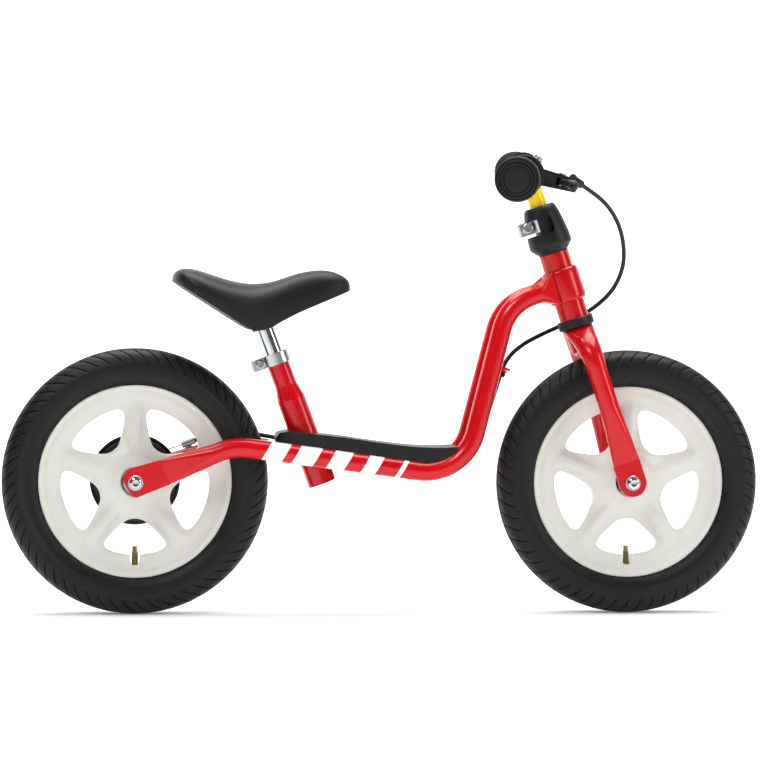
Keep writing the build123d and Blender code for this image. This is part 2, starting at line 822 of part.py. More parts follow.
with BuildPart() as fork_steerer:
    add(tube_between(steer, crown_radius, 0, crown_low, crown_high).part)
    add(tube_between(steer, steerer_radius, 0, crown_high, steerer_top).part)
    with BuildSketch(steer.offset(steerer_bore_floor)):
        Circle(stem_radius + running)
    extrude(amount=steerer_top, mode=Mode.SUBTRACT)
    with BuildSketch(steer.offset(clamp_low - 8)):
        with Locations((-steerer_radius, 0)):
            Rectangle(8, 2.2)
    extrude(amount=40, mode=Mode.SUBTRACT)
save(fork_steerer, "fork_steerer")

clamp_ear_half = 8.0
clamp_bolt_x, clamp_bolt_s = -21.5, 309.8
save(
    split_clamp(
        steer, steerer_radius, 16.6, clamp_low, clamp_high, 29, clamp_ear_half,
        clamp_bolt_x, clamp_bolt_s, 3.1,
    ),
    "stem_clamp",
)
clamp_bolt_plane = Plane(
    origin=local(steer, clamp_bolt_x, -clamp_ear_half, clamp_bolt_s), z_dir=(0, 1, 0)
)
save(
    socket_bolt(clamp_bolt_plane, 6.2, 6.0, 3.0, 2 * clamp_ear_half + 8, 3.0),
    "stem_clamp_bolt",
)
save(hex_nut(clamp_bolt_plane.offset(2 * clamp_ear_half), 5.5, 3.0, 5.0), "stem_clamp_nut")

with BuildPart() as steering_cover:
    with BuildSketch(Plane(origin=steer.origin, x_dir=steer.x_dir, z_dir=(0, -1, 0))):
        with BuildLine():
            Polyline(
                (cover_low_radius, cover_low),
                (cover_waist_radius, cover_waist),
                (cover_waist_radius - 0.8, 300),
                (cover_top_radius, cover_high),
                (stem_radius + body_gap, cover_high),
                (stem_radius + body_gap, cover_high - cover_wall),
                (cover_top_radius - cover_wall, cover_high - cover_wall),
                (cover_waist_radius - 0.8 - cover_wall, 299.6),
                (cover_waist_radius - cover_wall, cover_waist + 1),
                (cover_waist_radius - cover_wall - 2, cover_waist - 0.5),
                (steerer_radius, cover_waist - 0.5),
                (steerer_radius, cover_waist - 3.0),
                (20.0, cover_waist - 3.0),
                (head_tube_radius + body_gap, cover_low + 1),
                (head_tube_radius + body_gap, cover_low),
                close=True,
            )
        make_face()
    revolve(axis=Axis(steer.origin, steer.z_dir))
    with BuildSketch(steer.offset(cover_window_low)):
        with Locations((-24, 0)):
            Rectangle(56, 80)
        Circle(16.8, mode=Mode.SUBTRACT)
    extrude(amount=20.5, mode=Mode.SUBTRACT)
save(steering_cover, "steering_cover")

# ---------------------------------------------------------------- handlebar and stem


def bar_point(x, y, z):
    return local(bars, x, y, z)


def bar_offset(y):
    """How far the bar's centre line is swept back at a distance y from its middle."""
    return -bar_sweep * max(0.0, abs(y) - bar_straight) / (bar_end_y - bar_straight)


bar_route = [
    bar_point(-bar_sweep, -bar_end_y, 0),
    bar_point(0, -bar_straight, 0),
    bar_point(0, bar_straight, 0),
    bar_point(-bar_sweep, bar_end_y, 0),
]
handlebar_bar = swept_round(bar_route, [60, 60], bar_radius, bar_radius - 1.8)
save(handlebar_bar, "handlebar_bar")

with BuildPart() as handlebar_stem:
    add(tube_between(steer, stem_radius, stem_radius - 2.0, stem_foot, bar_height).part)
    add(swept_round(bar_route, [60, 60], bar_radius).part, mode=Mode.SUBTRACT)
    stem_solid = handlebar_stem.part.solids().sort_by(SortBy.VOLUME)[-1]
stem_solid.label = "handlebar_stem"
export_step(stem_solid, "parts/handlebar_stem.step")


def end_plane(side, distance):
    """A plane across the swept-back end of the bar, facing outwards."""
    inner = bar_point(0, side * bar_straight, 0)
    outer = bar_point(-bar_sweep, side * bar_end_y, 0)
    out = (outer - inner).normalized()
    return Plane(origin=inner + out * (distance - bar_straight), x_dir=bars.z_dir, z_dir=out)


def grip(side):
    """A rubber grip: sleeve, inner flange, outer flange and a large round end knob."""
    plane = end_plane(side, grip_inner_y)
    length = grip_outer_y - grip_inner_y
    with BuildPart() as sleeve:
        with BuildSketch(plane):
            Circle(grip_flange_radius)
            Circle(bar_radius + 0.02, mode=Mode.SUBTRACT)
        extrude(amount=4.0)
        with BuildSketch(plane.offset(4.0)):
            Circle(grip_radius)
            Circle(bar_radius + 0.02, mode=Mode.SUBTRACT)
        extrude(amount=length - 12.0)
        with BuildSketch(plane.offset(length - 16.0)):
            Circle(grip_knob_radius)
            Circle(bar_radius + 0.02, mode=Mode.SUBTRACT)
        extrude(amount=14.0)
        with BuildSketch(plane.offset(length - 0.9)):
            Circle(grip_knob_radius)
        extrude(amount=4.0)
        with BuildSketch(plane.offset(length - 2.0)):
            Circle(grip_knob_radius)
            Circle(bar_radius + 0.02, mode=Mode.SUBTRACT)
        extrude(amount=1.1)
        outer_edge = sleeve.edges().filter_by(GeomType.CIRCLE).sort_by(
            Axis(plane.origin, plane.z_dir)
        )[-1]
        fillet(outer_edge, 3.2)
    return sleeve


save(grip(-1), "grip_right")
save(grip(1), "grip_left")

# ---------------------------------------------------------------- brake lever

# The lever plane holds the bar's outer right end and the lever blade.
reach_dir = bars.x_dir * cos(radians(lever_drop)) - bars.z_dir * sin(radians(lever_drop))
lever_normal = reach_dir.cross(bars.y_dir).normalized()
lever_plane = Plane(origin=bars.origin, x_dir=reach_dir, z_dir=lever_normal)
# in this plane x is the reach in front of the bar and y runs along the bar


def lever_point(reach, y, across=0.0):
    return lever_plane.origin + reach_dir * reach + bars.y_dir * y + lever_normal * across


bracket_plane = end_plane(-1, -bracket_y - bracket_width / 2)
pivot_pin_radius = 2.5
lever_plane_y = lever_plane.y_dir
bracket_flip = 1 if lever_plane_y.dot(bars.y_dir) > 0 else -1


def flat_shape(points, radius, thickness, low):
    """A plate in the lever plane with rounded corners, from an outline of reach and y."""
    with BuildPart() as plate:
        with BuildSketch(lever_plane.offset(low)):
            with BuildLine():
                Polyline(*[(reach, bracket_flip * y) for reach, y in points], close=True)
            make_face()
            fillet(vertices(), radius)
        extrude(amount=thickness)
    return plate


jaw_half = 7.0
blade_half = 4.0
with BuildPart() as lever_bracket:
    with BuildSketch(bracket_plane):
        Circle(bar_radius + 4.5)
    extrude(amount=bracket_width)
    arm_outline = [(4, -74.5), (4, -92.0), (30, -93), (44, -90), (52, -82), (52, -68), (30, -72)]
    add(flat_shape(arm_outline, 3.5, 2 * jaw_half, -jaw_half).part)
    slot_outline = [(31, -120), (31, -78), (47, -78), (80, -86), (80, -120)]
    add(flat_shape(slot_outline, 1.5, 2 * blade_half + 0.8, -blade_half - 0.4).part, mode=Mode.SUBTRACT)
    with BuildSketch(bracket_plane.offset(-20)):
        Circle(bar_radius + 0.02)
    extrude(amount=60, mode=Mode.SUBTRACT)
    pivot_centre = lever_point(lever_pivot_reach, lever_pivot_y)
    with BuildSketch(Plane(origin=pivot_centre - lever_normal * 20, z_dir=lever_normal)):
        Circle(pivot_pin_radius + 0.02)
    extrude(amount=40, mode=Mode.SUBTRACT)
save(lever_bracket, "lever_bracket")

with BuildPart() as lever_pivot_pin:
    with BuildSketch(Plane(origin=pivot_centre - lever_normal * jaw_half, z_dir=lever_normal)):
        Circle(pivot_pin_radius)
    extrude(amount=2 * jaw_half)
    with BuildSketch(Plane(origin=pivot_centre + lever_normal * jaw_half, z_dir=lever_normal)):
        Circle(4.2)
    extrude(amount=2.4)
save(lever_pivot_pin, "lever_pivot_pin")

with BuildPart() as brake_lever:
    lever_outline = [
        (33, -79.5),
        (41, -79.5),
        (45, -84),
        (52, -100),
        (56.0, -125),
        (56.5, -150),
        (46.5, -150),
        (46.0, -125),
        (42, -104),
        (33, -89),
    ]
    add(flat_shape(lever_outline, 2.0, 2 * blade_half, -blade_half).part)
    with BuildSketch(Plane(origin=lever_point(lever_reach, -146), z_dir=-bars.y_dir)):
        Circle(4.6)
    extrude(amount=8)
    with Locations(Location(lever_point(lever_reach, lever_tip_y + 7.0))):
        Sphere(7.5)
    with BuildSketch(Plane(origin=pivot_centre - lever_normal * 20, z_dir=lever_normal)):
        Circle(pivot_pin_radius + running)
    extrude(amount=40, mode=Mode.SUBTRACT)
save(brake_lever, "brake_lever")

# ---------------------------------------------------------------- brake cable, front part

cable_front_route = [
    (208.5, -78.0, 489.0),
    (226.5, -63.0, 479.5),
    (245.0, -45.0, 463.0),
    (261.5, -24.0, 443.0),
    (272.0, -4.0, 419.0),
    (275.5, 12.0, 393.0),
    (266.0, 25.0, 367.0),
    (243.0, 32.0, 345.0),
    (213.0, 33.0, 329.5),
    (184.0, 29.0, 317.0),
    (160.0, 20.5, 304.5),
]
cable_route = cable_front_route + cable_rear_route
cable_bends = cord_radii(cable_route)
upper_end, lower_end = 4, len(cable_front_route) + 1
print("cable radii", [round(r) for r in cable_bends])


def cable_span(first, last, name):
    """The cable between the middles of two runs (or an end of the whole route)."""
    start, end = Vector(*cable_route[max(first, 0)]), Vector(*cable_route[last - 1])
    inner = cable_route[max(first, 1):last]
    points = list(inner)
    if first > 0:
        points.insert(0, (Vector(*cable_route[first - 1]) + start) * 0.5)
    else:
        points.insert(0, start)
    if last < len(cable_route):
        points.append((end + Vector(*cable_route[last])) * 0.5)
    radii = cable_bends[max(first, 1) - 1:min(last, len(cable_route) - 1) - 1]
    span = swept_round(points, radii, cable_radius)
    length = span.part.volume / (3.141592653589793 * cable_radius**2)
    print(name, "length", round(length, 1), "arcs", len(radii), "points", len(points))
    return save(span, name)


cable_span(0, upper_end, "brake_cable_upper")
cable_span(upper_end, lower_end, "brake_cable_lower")
cable_span(lower_end, len(cable_route), "brake_cable_rear")

cable_start, cable_next = Vector(*cable_route[0]), Vector(*cable_route[1])
adjuster_plane = Plane(origin=cable_start, z_dir=(cable_start - cable_next))
with BuildPart() as cable_adjuster:
    add(tube_between(adjuster_plane, 4.6, cable_radius + 0.02, -9.0, 0).part)
    add(tube_between(adjuster_plane, 3.2, 0.9, 0, 5.0).part)
    add(tube_between(adjuster_plane, 5.4, 0.9, 5.0, 8.0).part)
    add(lever_bracket.part, mode=Mode.SUBTRACT)
    adjuster_solid = cable_adjuster.part.solids().sort_by(SortBy.VOLUME)[-1]
adjuster_solid.label = "cable_adjuster"
export_step(adjuster_solid, "parts/cable_adjuster.step")

cable_stop_end = Vector(*cable_route[-1])
cable_stop_before = Vector(*cable_route[-2])
stop_plane = Plane(origin=cable_stop_end, z_dir=(cable_stop_end - cable_stop_before))
with BuildPart() as cable_stop:
    add(tube_between(stop_plane, 4.0, cable_radius + 0.02, -13.0, 0).part)
    add(tube_between(stop_plane, 4.0, wire_radius + 1.6, 0, 2.5).part)
    with BuildSketch(Plane(origin=cable_stop_end + Vector(5, 0, 0), z_dir=(0, 0, -1))):
        with Locations((0, 0)):
            Rectangle(7, 5)
    extrude(amount=16)
    with BuildSketch(stop_plane.offset(-13)):
        Circle(cable_radius + 0.02)
    extrude(amount=13, mode=Mode.SUBTRACT)
    add(frame_tube_left, mode=Mode.SUBTRACT)
    stop_solid = cable_stop.part.solids().sort_by(SortBy.VOLUME)[-1]
stop_solid.label = "cable_stop"
export_step(stop_solid, "parts/cable_stop.step")

with BuildPart() as brake_wire:
    wire_run = Vector(arm_end.X, arm_y - 2.0, arm_end.Z) - cable_stop_end
    with BuildSketch(Plane(origin=cable_stop_end, z_dir=wire_run).offset(0.4)):
        Circle(wire_radius)
    extrude(amount=wire_run.length - 0.4 - wire_barrel_radius - 0.2)
save(brake_wire, "brake_wire")

# ---------------------------------------------------------------- wheels


def side_profile(x):
    """Sketch plane through a wheel's axis: x across the wheel, y out along its radius."""
    return Plane(origin=(x, 0, tyre_radius), x_dir=(0, 1, 0), z_dir=(1, 0, 0))


def wheel_axis(x):
    return Axis((x, 0, tyre_radius), (0, 1, 0))


def spoke_window(angle):
    """One opening between two spokes, centred on its own radius."""
    turn = Location((0, 0, 0), (0, 0, angle - 90))
    with BuildSketch() as window:
        with BuildLine():
            outer = window_corner_half_width
            inner = window_inner_half_width
            ThreePointArc(
                (-outer, window_corner_radius), (0, rim_skirt_radius), (outer, window_corner_radius)
            )
            Line((outer, window_corner_radius), (inner, window_inner_radius))
            Line((inner, window_inner_radius), (-inner, window_inner_radius))
            Line((-inner, window_inner_radius), (-outer, window_corner_radius))
        make_face()
        inner_corners = window.vertices().group_by(Axis.Y)[0]
        fillet(inner_corners, 8.5)
        outer_corners = window.vertices().sort_by(Axis.X)
        fillet([outer_corners[0], outer_corners[-1]], 8.0)
    return window.sketch.moved(turn)


def rim(x):
    """A one-piece moulded wheel: rim well with lips, five ridged spokes and a hub."""
    with BuildPart() as wheel:
        with BuildSketch(side_profile(x)):
            with BuildLine():
                half, lip = rim_half_width, rim_lip
                skirt = rim_half_width - 3.0
                right_side = [
                    (half, rim_skirt_radius),
                    (half, rim_radius),
                    (half - lip, rim_radius),
                    (half - lip, rim_well_radius),
                ]
                inside = [
                    (skirt, rim_well_radius - 4.5),
                    (skirt, rim_skirt_radius),
                ]
                web = [
                    (rim_web_half, rim_well_radius - 4.5),
                    (rim_web_half, hub_root_radius + 6),
                    (hub_half_length - 12, hub_root_radius - 3),
                    (hub_half_length, hub_radius),
                    (hub_half_length, bearing_radius),
                    (hub_half_length - bearing_width, bearing_radius),
                    (hub_half_length - bearing_width, axle_radius + 3),
                ]
                path = list(reversed(web)) + inside + right_side
                mirrored = [(-px, py) for px, py in reversed(path)]
                Polyline(*path, *mirrored, close=True)
            make_face()
        revolve(axis=wheel_axis(x))
        face_plane = Plane(origin=(x, -20, tyre_radius), x_dir=(1, 0, 0), z_dir=(0, -1, 0))
        for index in range(spoke_count):
            with BuildSketch(face_plane):
                add(spoke_window(90 + 180 / spoke_count + index * 360 / spoke_count))
            extrude(amount=-40, mode=Mode.SUBTRACT)
        ridge_length = ridge_end - ridge_start
        for side in (-1, 1):
            ridge_plane = Plane(
                origin=(x, side * rim_web_half, tyre_radius), x_dir=(1, 0, 0), z_dir=(0, -1, 0)
            )
            with BuildSketch(ridge_plane):
                with PolarLocations((ridge_start + ridge_end) / 2, spoke_count, 90):
                    SlotOverall(ridge_length, ridge_width)
            extrude(amount=-side * ridge_height, taper=18)
        with BuildSketch(face_plane):
            with Locations((0, -(rim_skirt_radius + rim_well_radius) / 2 + 2)):
                Rectangle(13, rim_well_radius - rim_skirt_radius)
        extrude(amount=-40, mode=Mode.SUBTRACT)
        with BuildSketch(Plane(origin=(x, 0, tyre_radius), z_dir=(0, 0, -1))):
            Circle(valve_radius + 0.4)
        extrude(amount=rim_radius, mode=Mode.SUBTRACT)
        with BuildSketch(Plane(origin=(x, -hub_half_length, tyre_radius), z_dir=(0, 1, 0))):
            Circle(axle_radius + 3)
        extrude(amount=2 * hub_half_length, mode=Mode.SUBTRACT)
    return wheel


def tyre(x):
    """The tyre's casing, from bead to bead."""
    bead_y, bead_inner_y = rim_half_width - rim_lip - 0.1, 8.8
    wide_radius = 128.0
    with BuildPart() as casing:
        with BuildSketch(side_profile(x)):
            with BuildLine():
                top, inner_top = tyre_radius, tyre_radius - tyre_wall - 1.5
                shoulder = tyre_shoulder_half_width
                lip_y = rim_half_width + 0.3
                inner_wide = tyre_half_width - tyre_wall
                ThreePointArc((-shoulder, 143.4), (0, top), (shoulder, 143.4))
                ThreePointArc((shoulder, 143.4), (tyre_half_width, wide_radius), (lip_y, 109.5))
                Line((lip_y, 109.5), (bead_y, 109.4))
                Line((bead_y, 109.4), (bead_y, rim_well_radius + 0.1))
                Line((bead_y, rim_well_radius + 0.1), (bead_inner_y, rim_well_radius + 0.1))
                Line((bead_inner_y, rim_well_radius + 0.1), (bead_inner_y, 108))
                ThreePointArc((bead_inner_y, 108), (inner_wide, wide_radius), (14, 140.5))
                ThreePointArc((14, 140.5), (0, inner_top), (-14, 140.5))
                ThreePointArc((-14, 140.5), (-inner_wide, wide_radius), (-bead_inner_y, 108))
                Line((-bead_inner_y, 108), (-bead_inner_y, rim_well_radius + 0.1))
                Line((-bead_inner_y, rim_well_radius + 0.1), (-bead_y, rim_well_radius + 0.1))
                Line((-bead_y, rim_well_radius + 0.1), (-bead_y, 109.4))
                Line((-bead_y, 109.4), (-lip_y, 109.5))
                ThreePointArc((-lip_y, 109.5), (-tyre_half_width, wide_radius), (-shoulder, 143.4))
            make_face()
        revolve(axis=wheel_axis(x))
    return casing


def valve(x):
    """The inner tube's valve stem, standing inwards through the rim."""
    low = Plane(origin=(x, 0, tyre_radius - valve_base_radius), z_dir=(0, 0, 1))
    with BuildPart() as stem:
        with BuildSketch(low):
            Circle(valve_radius)
        extrude(amount=valve_base_radius - valve_tip_radius)
        chamfer(stem.faces().sort_by(Axis.Z)[-1].edges(), 0.8)
    return stem


def bearings(x):
    """The hub's two bearings."""
    with BuildPart() as pair:
        for side in (-1, 1):
            with BuildSketch(hub_plane(x, side * hub_half_length, -side)):
                Circle(bearing_radius)
                Circle(axle_radius + running, mode=Mode.SUBTRACT)
            extrude(amount=bearing_width)
    return pair


for x, end in ((rear_x, "rear"), (front_x, "front")):
    save(rim(x), f"{end}_rim")
    save(tyre(x), f"{end}_tyre")
    save(valve(x), f"{end}_valve")
    save(bearings(x), f"{end}_bearings")

with BuildPart() as rear_brake_drum:
    with BuildSketch(hub_plane(rear_x, drum_floor)):
        Circle(drum_radius)
        Circle(hub_root_radius + 1.2, mode=Mode.SUBTRACT)
    extrude(amount=3.0)
    with BuildSketch(hub_plane(rear_x, drum_floor)):
        Circle(drum_radius)
        Circle(drum_radius - drum_wall, mode=Mode.SUBTRACT)
    extrude(amount=drum_rim_y - drum_floor)
    with BuildSketch(hub_plane(rear_x, rim_web_half + ridge_height + 0.1)):
        Circle(drum_radius - 8)
        Circle(hub_root_radius + 4.0, mode=Mode.SUBTRACT)
    extrude(amount=drum_floor - rim_web_half - ridge_height - 0.1)
save(rear_brake_drum, "rear_brake_drum")
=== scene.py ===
"""Models and paints the visible pieces of a child's balance bike on its CAD frame."""

import json
import math

import bpy
from bpy.props import FloatProperty, FloatVectorProperty, IntProperty, PointerProperty
from mathutils import Matrix, Vector


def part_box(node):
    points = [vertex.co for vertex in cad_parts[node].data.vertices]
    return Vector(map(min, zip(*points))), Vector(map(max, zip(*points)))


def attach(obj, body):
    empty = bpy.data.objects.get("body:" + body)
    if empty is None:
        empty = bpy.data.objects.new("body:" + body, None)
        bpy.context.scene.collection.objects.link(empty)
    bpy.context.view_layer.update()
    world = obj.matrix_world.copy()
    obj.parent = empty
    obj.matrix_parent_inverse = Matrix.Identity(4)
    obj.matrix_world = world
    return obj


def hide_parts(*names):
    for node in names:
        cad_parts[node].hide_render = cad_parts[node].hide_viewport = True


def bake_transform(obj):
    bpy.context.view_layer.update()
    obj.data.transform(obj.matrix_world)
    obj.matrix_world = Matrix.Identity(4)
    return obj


bl_info = {
    "name": "Balance Bike",
    "version": (1, 0, 0),
    "blender": (4, 5, 0),
    "location": "View3D > Sidebar > Balance Bike",
    "description": "Models and paints the pieces of a child's balance bike",
    "category": "Add Mesh",
}

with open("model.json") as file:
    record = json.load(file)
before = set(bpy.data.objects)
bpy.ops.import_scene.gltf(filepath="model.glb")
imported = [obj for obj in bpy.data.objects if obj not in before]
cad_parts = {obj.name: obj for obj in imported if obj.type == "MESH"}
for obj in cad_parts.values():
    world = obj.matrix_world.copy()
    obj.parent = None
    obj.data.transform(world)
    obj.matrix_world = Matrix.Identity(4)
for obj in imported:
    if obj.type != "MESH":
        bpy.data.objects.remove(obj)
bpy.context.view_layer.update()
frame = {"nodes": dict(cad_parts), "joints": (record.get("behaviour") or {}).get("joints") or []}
MM = 0.001


def middle(node):
    """Centre of a CAD node's box."""
    low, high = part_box(node)
    return (low + high) / 2


def joint(name):
    """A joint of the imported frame, by name."""
    return next(j for j in frame["joints"] if j["name"] == name)


FRONT_HUB = middle("front_rim")
REAR_HUB = middle("rear_rim")
STEER_AXIS = Vector(joint("steering")["axis"])
LEVER_AXIS = Vector(joint("brake_lever")["axis"])

# The seat post leans back; its axis starts at the foot, low in the seat tube.
SEAT_TILT = math.radians(20.6)
SEAT_AXIS = Vector((-math.sin(SEAT_TILT), 0.0, math.cos(SEAT_TILT)))
SEAT_FOOT = Vector((-68.5, 0.0, 147.5)) * MM

# The handlebar's own axes: it is turned and leans a little in its stem.
STEER_AHEAD = Vector((STEER_AXIS.z, 0, -STEER_AXIS.x))
BAR_TWIST, BAR_ROLL = math.radians(8.0), math.radians(1.5)
BAR_CENTRE = FRONT_HUB + STEER_AXIS * 371.7 * MM
BAR_AHEAD = STEER_AHEAD * math.cos(BAR_TWIST) - Vector((0, math.sin(BAR_TWIST), 0))
BAR_LEVEL = STEER_AHEAD * math.sin(BAR_TWIST) + Vector((0, math.cos(BAR_TWIST), 0))
BAR_LEFT = BAR_LEVEL * math.cos(BAR_ROLL) + STEER_AXIS * math.sin(BAR_ROLL)
LEVER_ACROSS = -LEVER_AXIS
LEVER_AHEAD = BAR_LEFT.cross(LEVER_ACROSS)


def lever_point(ahead, left, across=0.0):
    """A place by its distances in mm from the bar's middle, in the lever's plane."""
    return BAR_CENTRE + (LEVER_AHEAD * ahead + BAR_LEFT * left + LEVER_ACROSS * across) * MM


def bar_end(side):
    """Where the bar's end starts its sweep, and the direction it runs in."""
    inner = BAR_CENTRE + BAR_LEFT * side * 45 * MM
    outer = BAR_CENTRE - BAR_AHEAD * 14 * MM + BAR_LEFT * side * 204 * MM
    return inner, (outer - inner).normalized()


# ------------------------------------------------------------------ colours


def linear(hex_colour):
    """Turns an sRGB hex colour into the linear RGBA that Blender mixes in."""
    out = []
    for start in (1, 3, 5):
        value = int(hex_colour[start:start + 2], 16) / 255
        out.append(value / 12.92 if value <= 0.04045 else ((value + 0.055) / 1.055) ** 2.4)
    return (*out, 1.0)


def colour_property(name, description, hex_colour):
    """A colour that can be picked in the panel."""
    return FloatVectorProperty(
        name=name,
        description=description,
        subtype="COLOR",
        size=4,
        min=0.0,
        max=1.0,
        default=linear(hex_colour),
    )


class BikeColours(bpy.types.PropertyGroup):
    """Colours of the bike's finishes."""

    enamel_red: colour_property("Frame red", "Powder coat of the frame and fork", "#c8000f")
    enamel_yellow: colour_property("Stem yellow", "Powder coat of the stem and bar", "#f5cf0a")
    rim_white: colour_property("Rim white", "Moulded wheels", "#d9d9d2")
    tyre_black: colour_property("Tyre black", "Vulcanised tyre rubber", "#0c0c0d")
    plastic_black: colour_property("Plastic black", "Moulded covers, deck and lever", "#0e0e10")
    skin_black: colour_property("Saddle black", "Foam saddle's moulded skin", "#0f1011")


class BikeSizes(bpy.types.PropertyGroup):
    """Sizes of the modelled detail."""

    groove_depth: FloatProperty(
        name="Groove depth",
        description="Depth of the tyre's tread grooves",
        default=1.9 * MM,
        unit="LENGTH",
    )
    tread_pitch_count: IntProperty(
        name="Tread blocks", description="Tread blocks round each tyre", default=60, min=12
    )
    grip_rib_count: IntProperty(
        name="Grip ribs", description="Raised ribs along each grip", default=9, min=3
    )
    cable_thickness: FloatProperty(
        name="Cable thickness",
        description="Outer diameter of the brake cable's sheath",
        default=5.0 * MM,
        unit="LENGTH",
    )
    whisker_count: IntProperty(
        name="Vent whiskers", description="Rubber whiskers round a new tyre", default=16, min=0
    )


# ------------------------------------------------------------------ node helper


def fill_inputs(tree, node, inputs):
    """Gives each input its value, or a link when the value is another node's socket."""
    for key, value in inputs.items():
        if isinstance(value, bpy.types.NodeSocket):
            tree.links.new(value, node.inputs[key])
        else:
            node.inputs[key].default_value = value


def add_node(tree, kind, inputs=None, **settings):
    """Adds a node with its settings; an input is a value or another node's socket."""
    made = tree.nodes.new(kind)
    for key, value in settings.items():
        setattr(made, key, value)
    fill_inputs(tree, made, inputs or {})
    return made


def new_finish(name):
    """A fresh material: returns it with its node tree and its shader."""
    finish = bpy.data.materials.new(name)
    finish.use_nodes = True
    tree = finish.node_tree
    shader = tree.nodes["Principled BSDF"]
    return finish, tree, shader


def surface_point(tree):
    """The place on the surface, in the object's own frame."""
    return add_node(tree, "ShaderNodeTexCoord").outputs["Object"]


def tinted(tree, point, colour, spread, scale):
    """The colour, a little lighter and darker in soft clouds of the given scale."""
    clouds = add_node(
        tree, "ShaderNodeTexNoise", {"Vector": point, "Scale": scale, "Detail": 3.0}
    )
    ramp = add_node(tree, "ShaderNodeValToRGB", {"Fac": clouds.outputs["Fac"]})
    ramp.color_ramp.elements[0].position = 0.35
    ramp.color_ramp.elements[1].position = 0.65
    ramp.color_ramp.elements[0].color = [c * (1 - spread) for c in colour[:3]] + [1.0]
    ramp.color_ramp.elements[1].color = [min(1.0, c * (1 + spread)) for c in colour[:3]] + [1.0]
    return ramp.outputs["Color"]


# ------------------------------------------------------------------ finishes


def powder_coat(name, colour, stripes=None):
    """Baked powder coat on steel: a deep gloss skin with a faint orange-peel ripple."""
    finish, tree, shader = new_finish(name)
    point = surface_point(tree)
    base = tinted(tree, point, colour, 0.06, 14.0)
    if stripes:
        base = stripes(tree, point, base)
    peel_per_metre = 1 / (2.2 * MM)
    peel = add_node(
        tree, "ShaderNodeTexNoise", {"Vector": point, "Scale": peel_per_metre, "Detail": 1.0}
    )
    ripple = add_node(
        tree,
        "ShaderNodeBump",
        {"Height": peel.outputs["Fac"], "Strength": 0.05, "Distance": 0.15 * MM},
    )
    fill_inputs(
        tree,
        shader,
        {
            "Base Color": base,
            "Normal": ripple.outputs["Normal"],
            "Roughness": 0.26,
            "IOR": 1.5,
            "Specular IOR Level": 0.28,
            "Coat Weight": 0.3,
            "Coat Roughness": 0.04,
        },
    )
    return finish


def slanted_bars(first, last, pitch, slope):
    """Generic slanted white bars along a tube, thinning out towards their last end (m)."""

    def paint(tree, point, base):
        math_node = "ShaderNodeMath"
        parts = add_node(tree, "ShaderNodeSeparateXYZ", {"Vector": point}).outputs
        slide = add_node(tree, math_node, {0: parts["Z"], 1: slope}, operation="MULTIPLY")
        along = add_node(
            tree, math_node, {0: parts["X"], 1: slide.outputs[0]}, operation="SUBTRACT"
        ).outputs[0]
        thinning = add_node(
            tree,
            "ShaderNodeMapRange",
            {"Value": along, "From Min": first, "From Max": last, "To Min": 0.78, "To Max": 0.34},
        ).outputs["Result"]
        step = add_node(tree, math_node, {0: along, 1: 1 / pitch}, operation="MULTIPLY")
        wrap = add_node(tree, math_node, {0: step.outputs[0]}, operation="FRACT")
        bar = add_node(tree, math_node, {0: wrap.outputs[0], 1: thinning}, operation="LESS_THAN")
        after = add_node(tree, math_node, {0: along, 1: first}, operation="GREATER_THAN")
        before = add_node(tree, math_node, {0: along, 1: last}, operation="LESS_THAN")
        inside = add_node(
            tree, math_node, {0: after.outputs[0], 1: before.outputs[0]}, operation="MULTIPLY"
        )
        mask = add_node(
            tree, math_node, {0: bar.outputs[0], 1: inside.outputs[0]}, operation="MULTIPLY"
        )
        mixed = add_node(
            tree,
            "ShaderNodeMix",
            {"Factor": mask.outputs[0], "A": base, "B": linear("#f4f4f2")},
            data_type="RGBA",
        )
        return mixed.outputs["Result"]

    return paint


def moulded_plastic(name, colour, roughness, grain_mm, depth_mm, spread=0.08):
    """Injection-moulded plastic: an even satin with the fine spark-eroded grain of its mould."""
    finish, tree, shader = new_finish(name)
    point = surface_point(tree)
    grain = add_node(
        tree,
        "ShaderNodeTexNoise",
        {"Vector": point, "Scale": 1 / (grain_mm * MM), "Detail": 2.0, "Roughness": 0.6},
    )
    bumps = add_node(
        tree,
        "ShaderNodeBump",
        {"Height": grain.outputs["Fac"], "Strength": 0.35, "Distance": depth_mm * MM},
    )
    sheen = add_node(
        tree,
        "ShaderNodeMapRange",
        {"Value": grain.outputs["Fac"], "To Min": roughness - 0.05, "To Max": roughness + 0.07},
    )
    fill_inputs(
        tree,
        shader,
        {
            "Base Color": tinted(tree, point, colour, spread, 25.0),
            "Normal": bumps.outputs["Normal"],
            "Roughness": sheen.outputs["Result"],
            "IOR": 1.5,
            "Specular IOR Level": 0.36,
        },
    )
    return finish


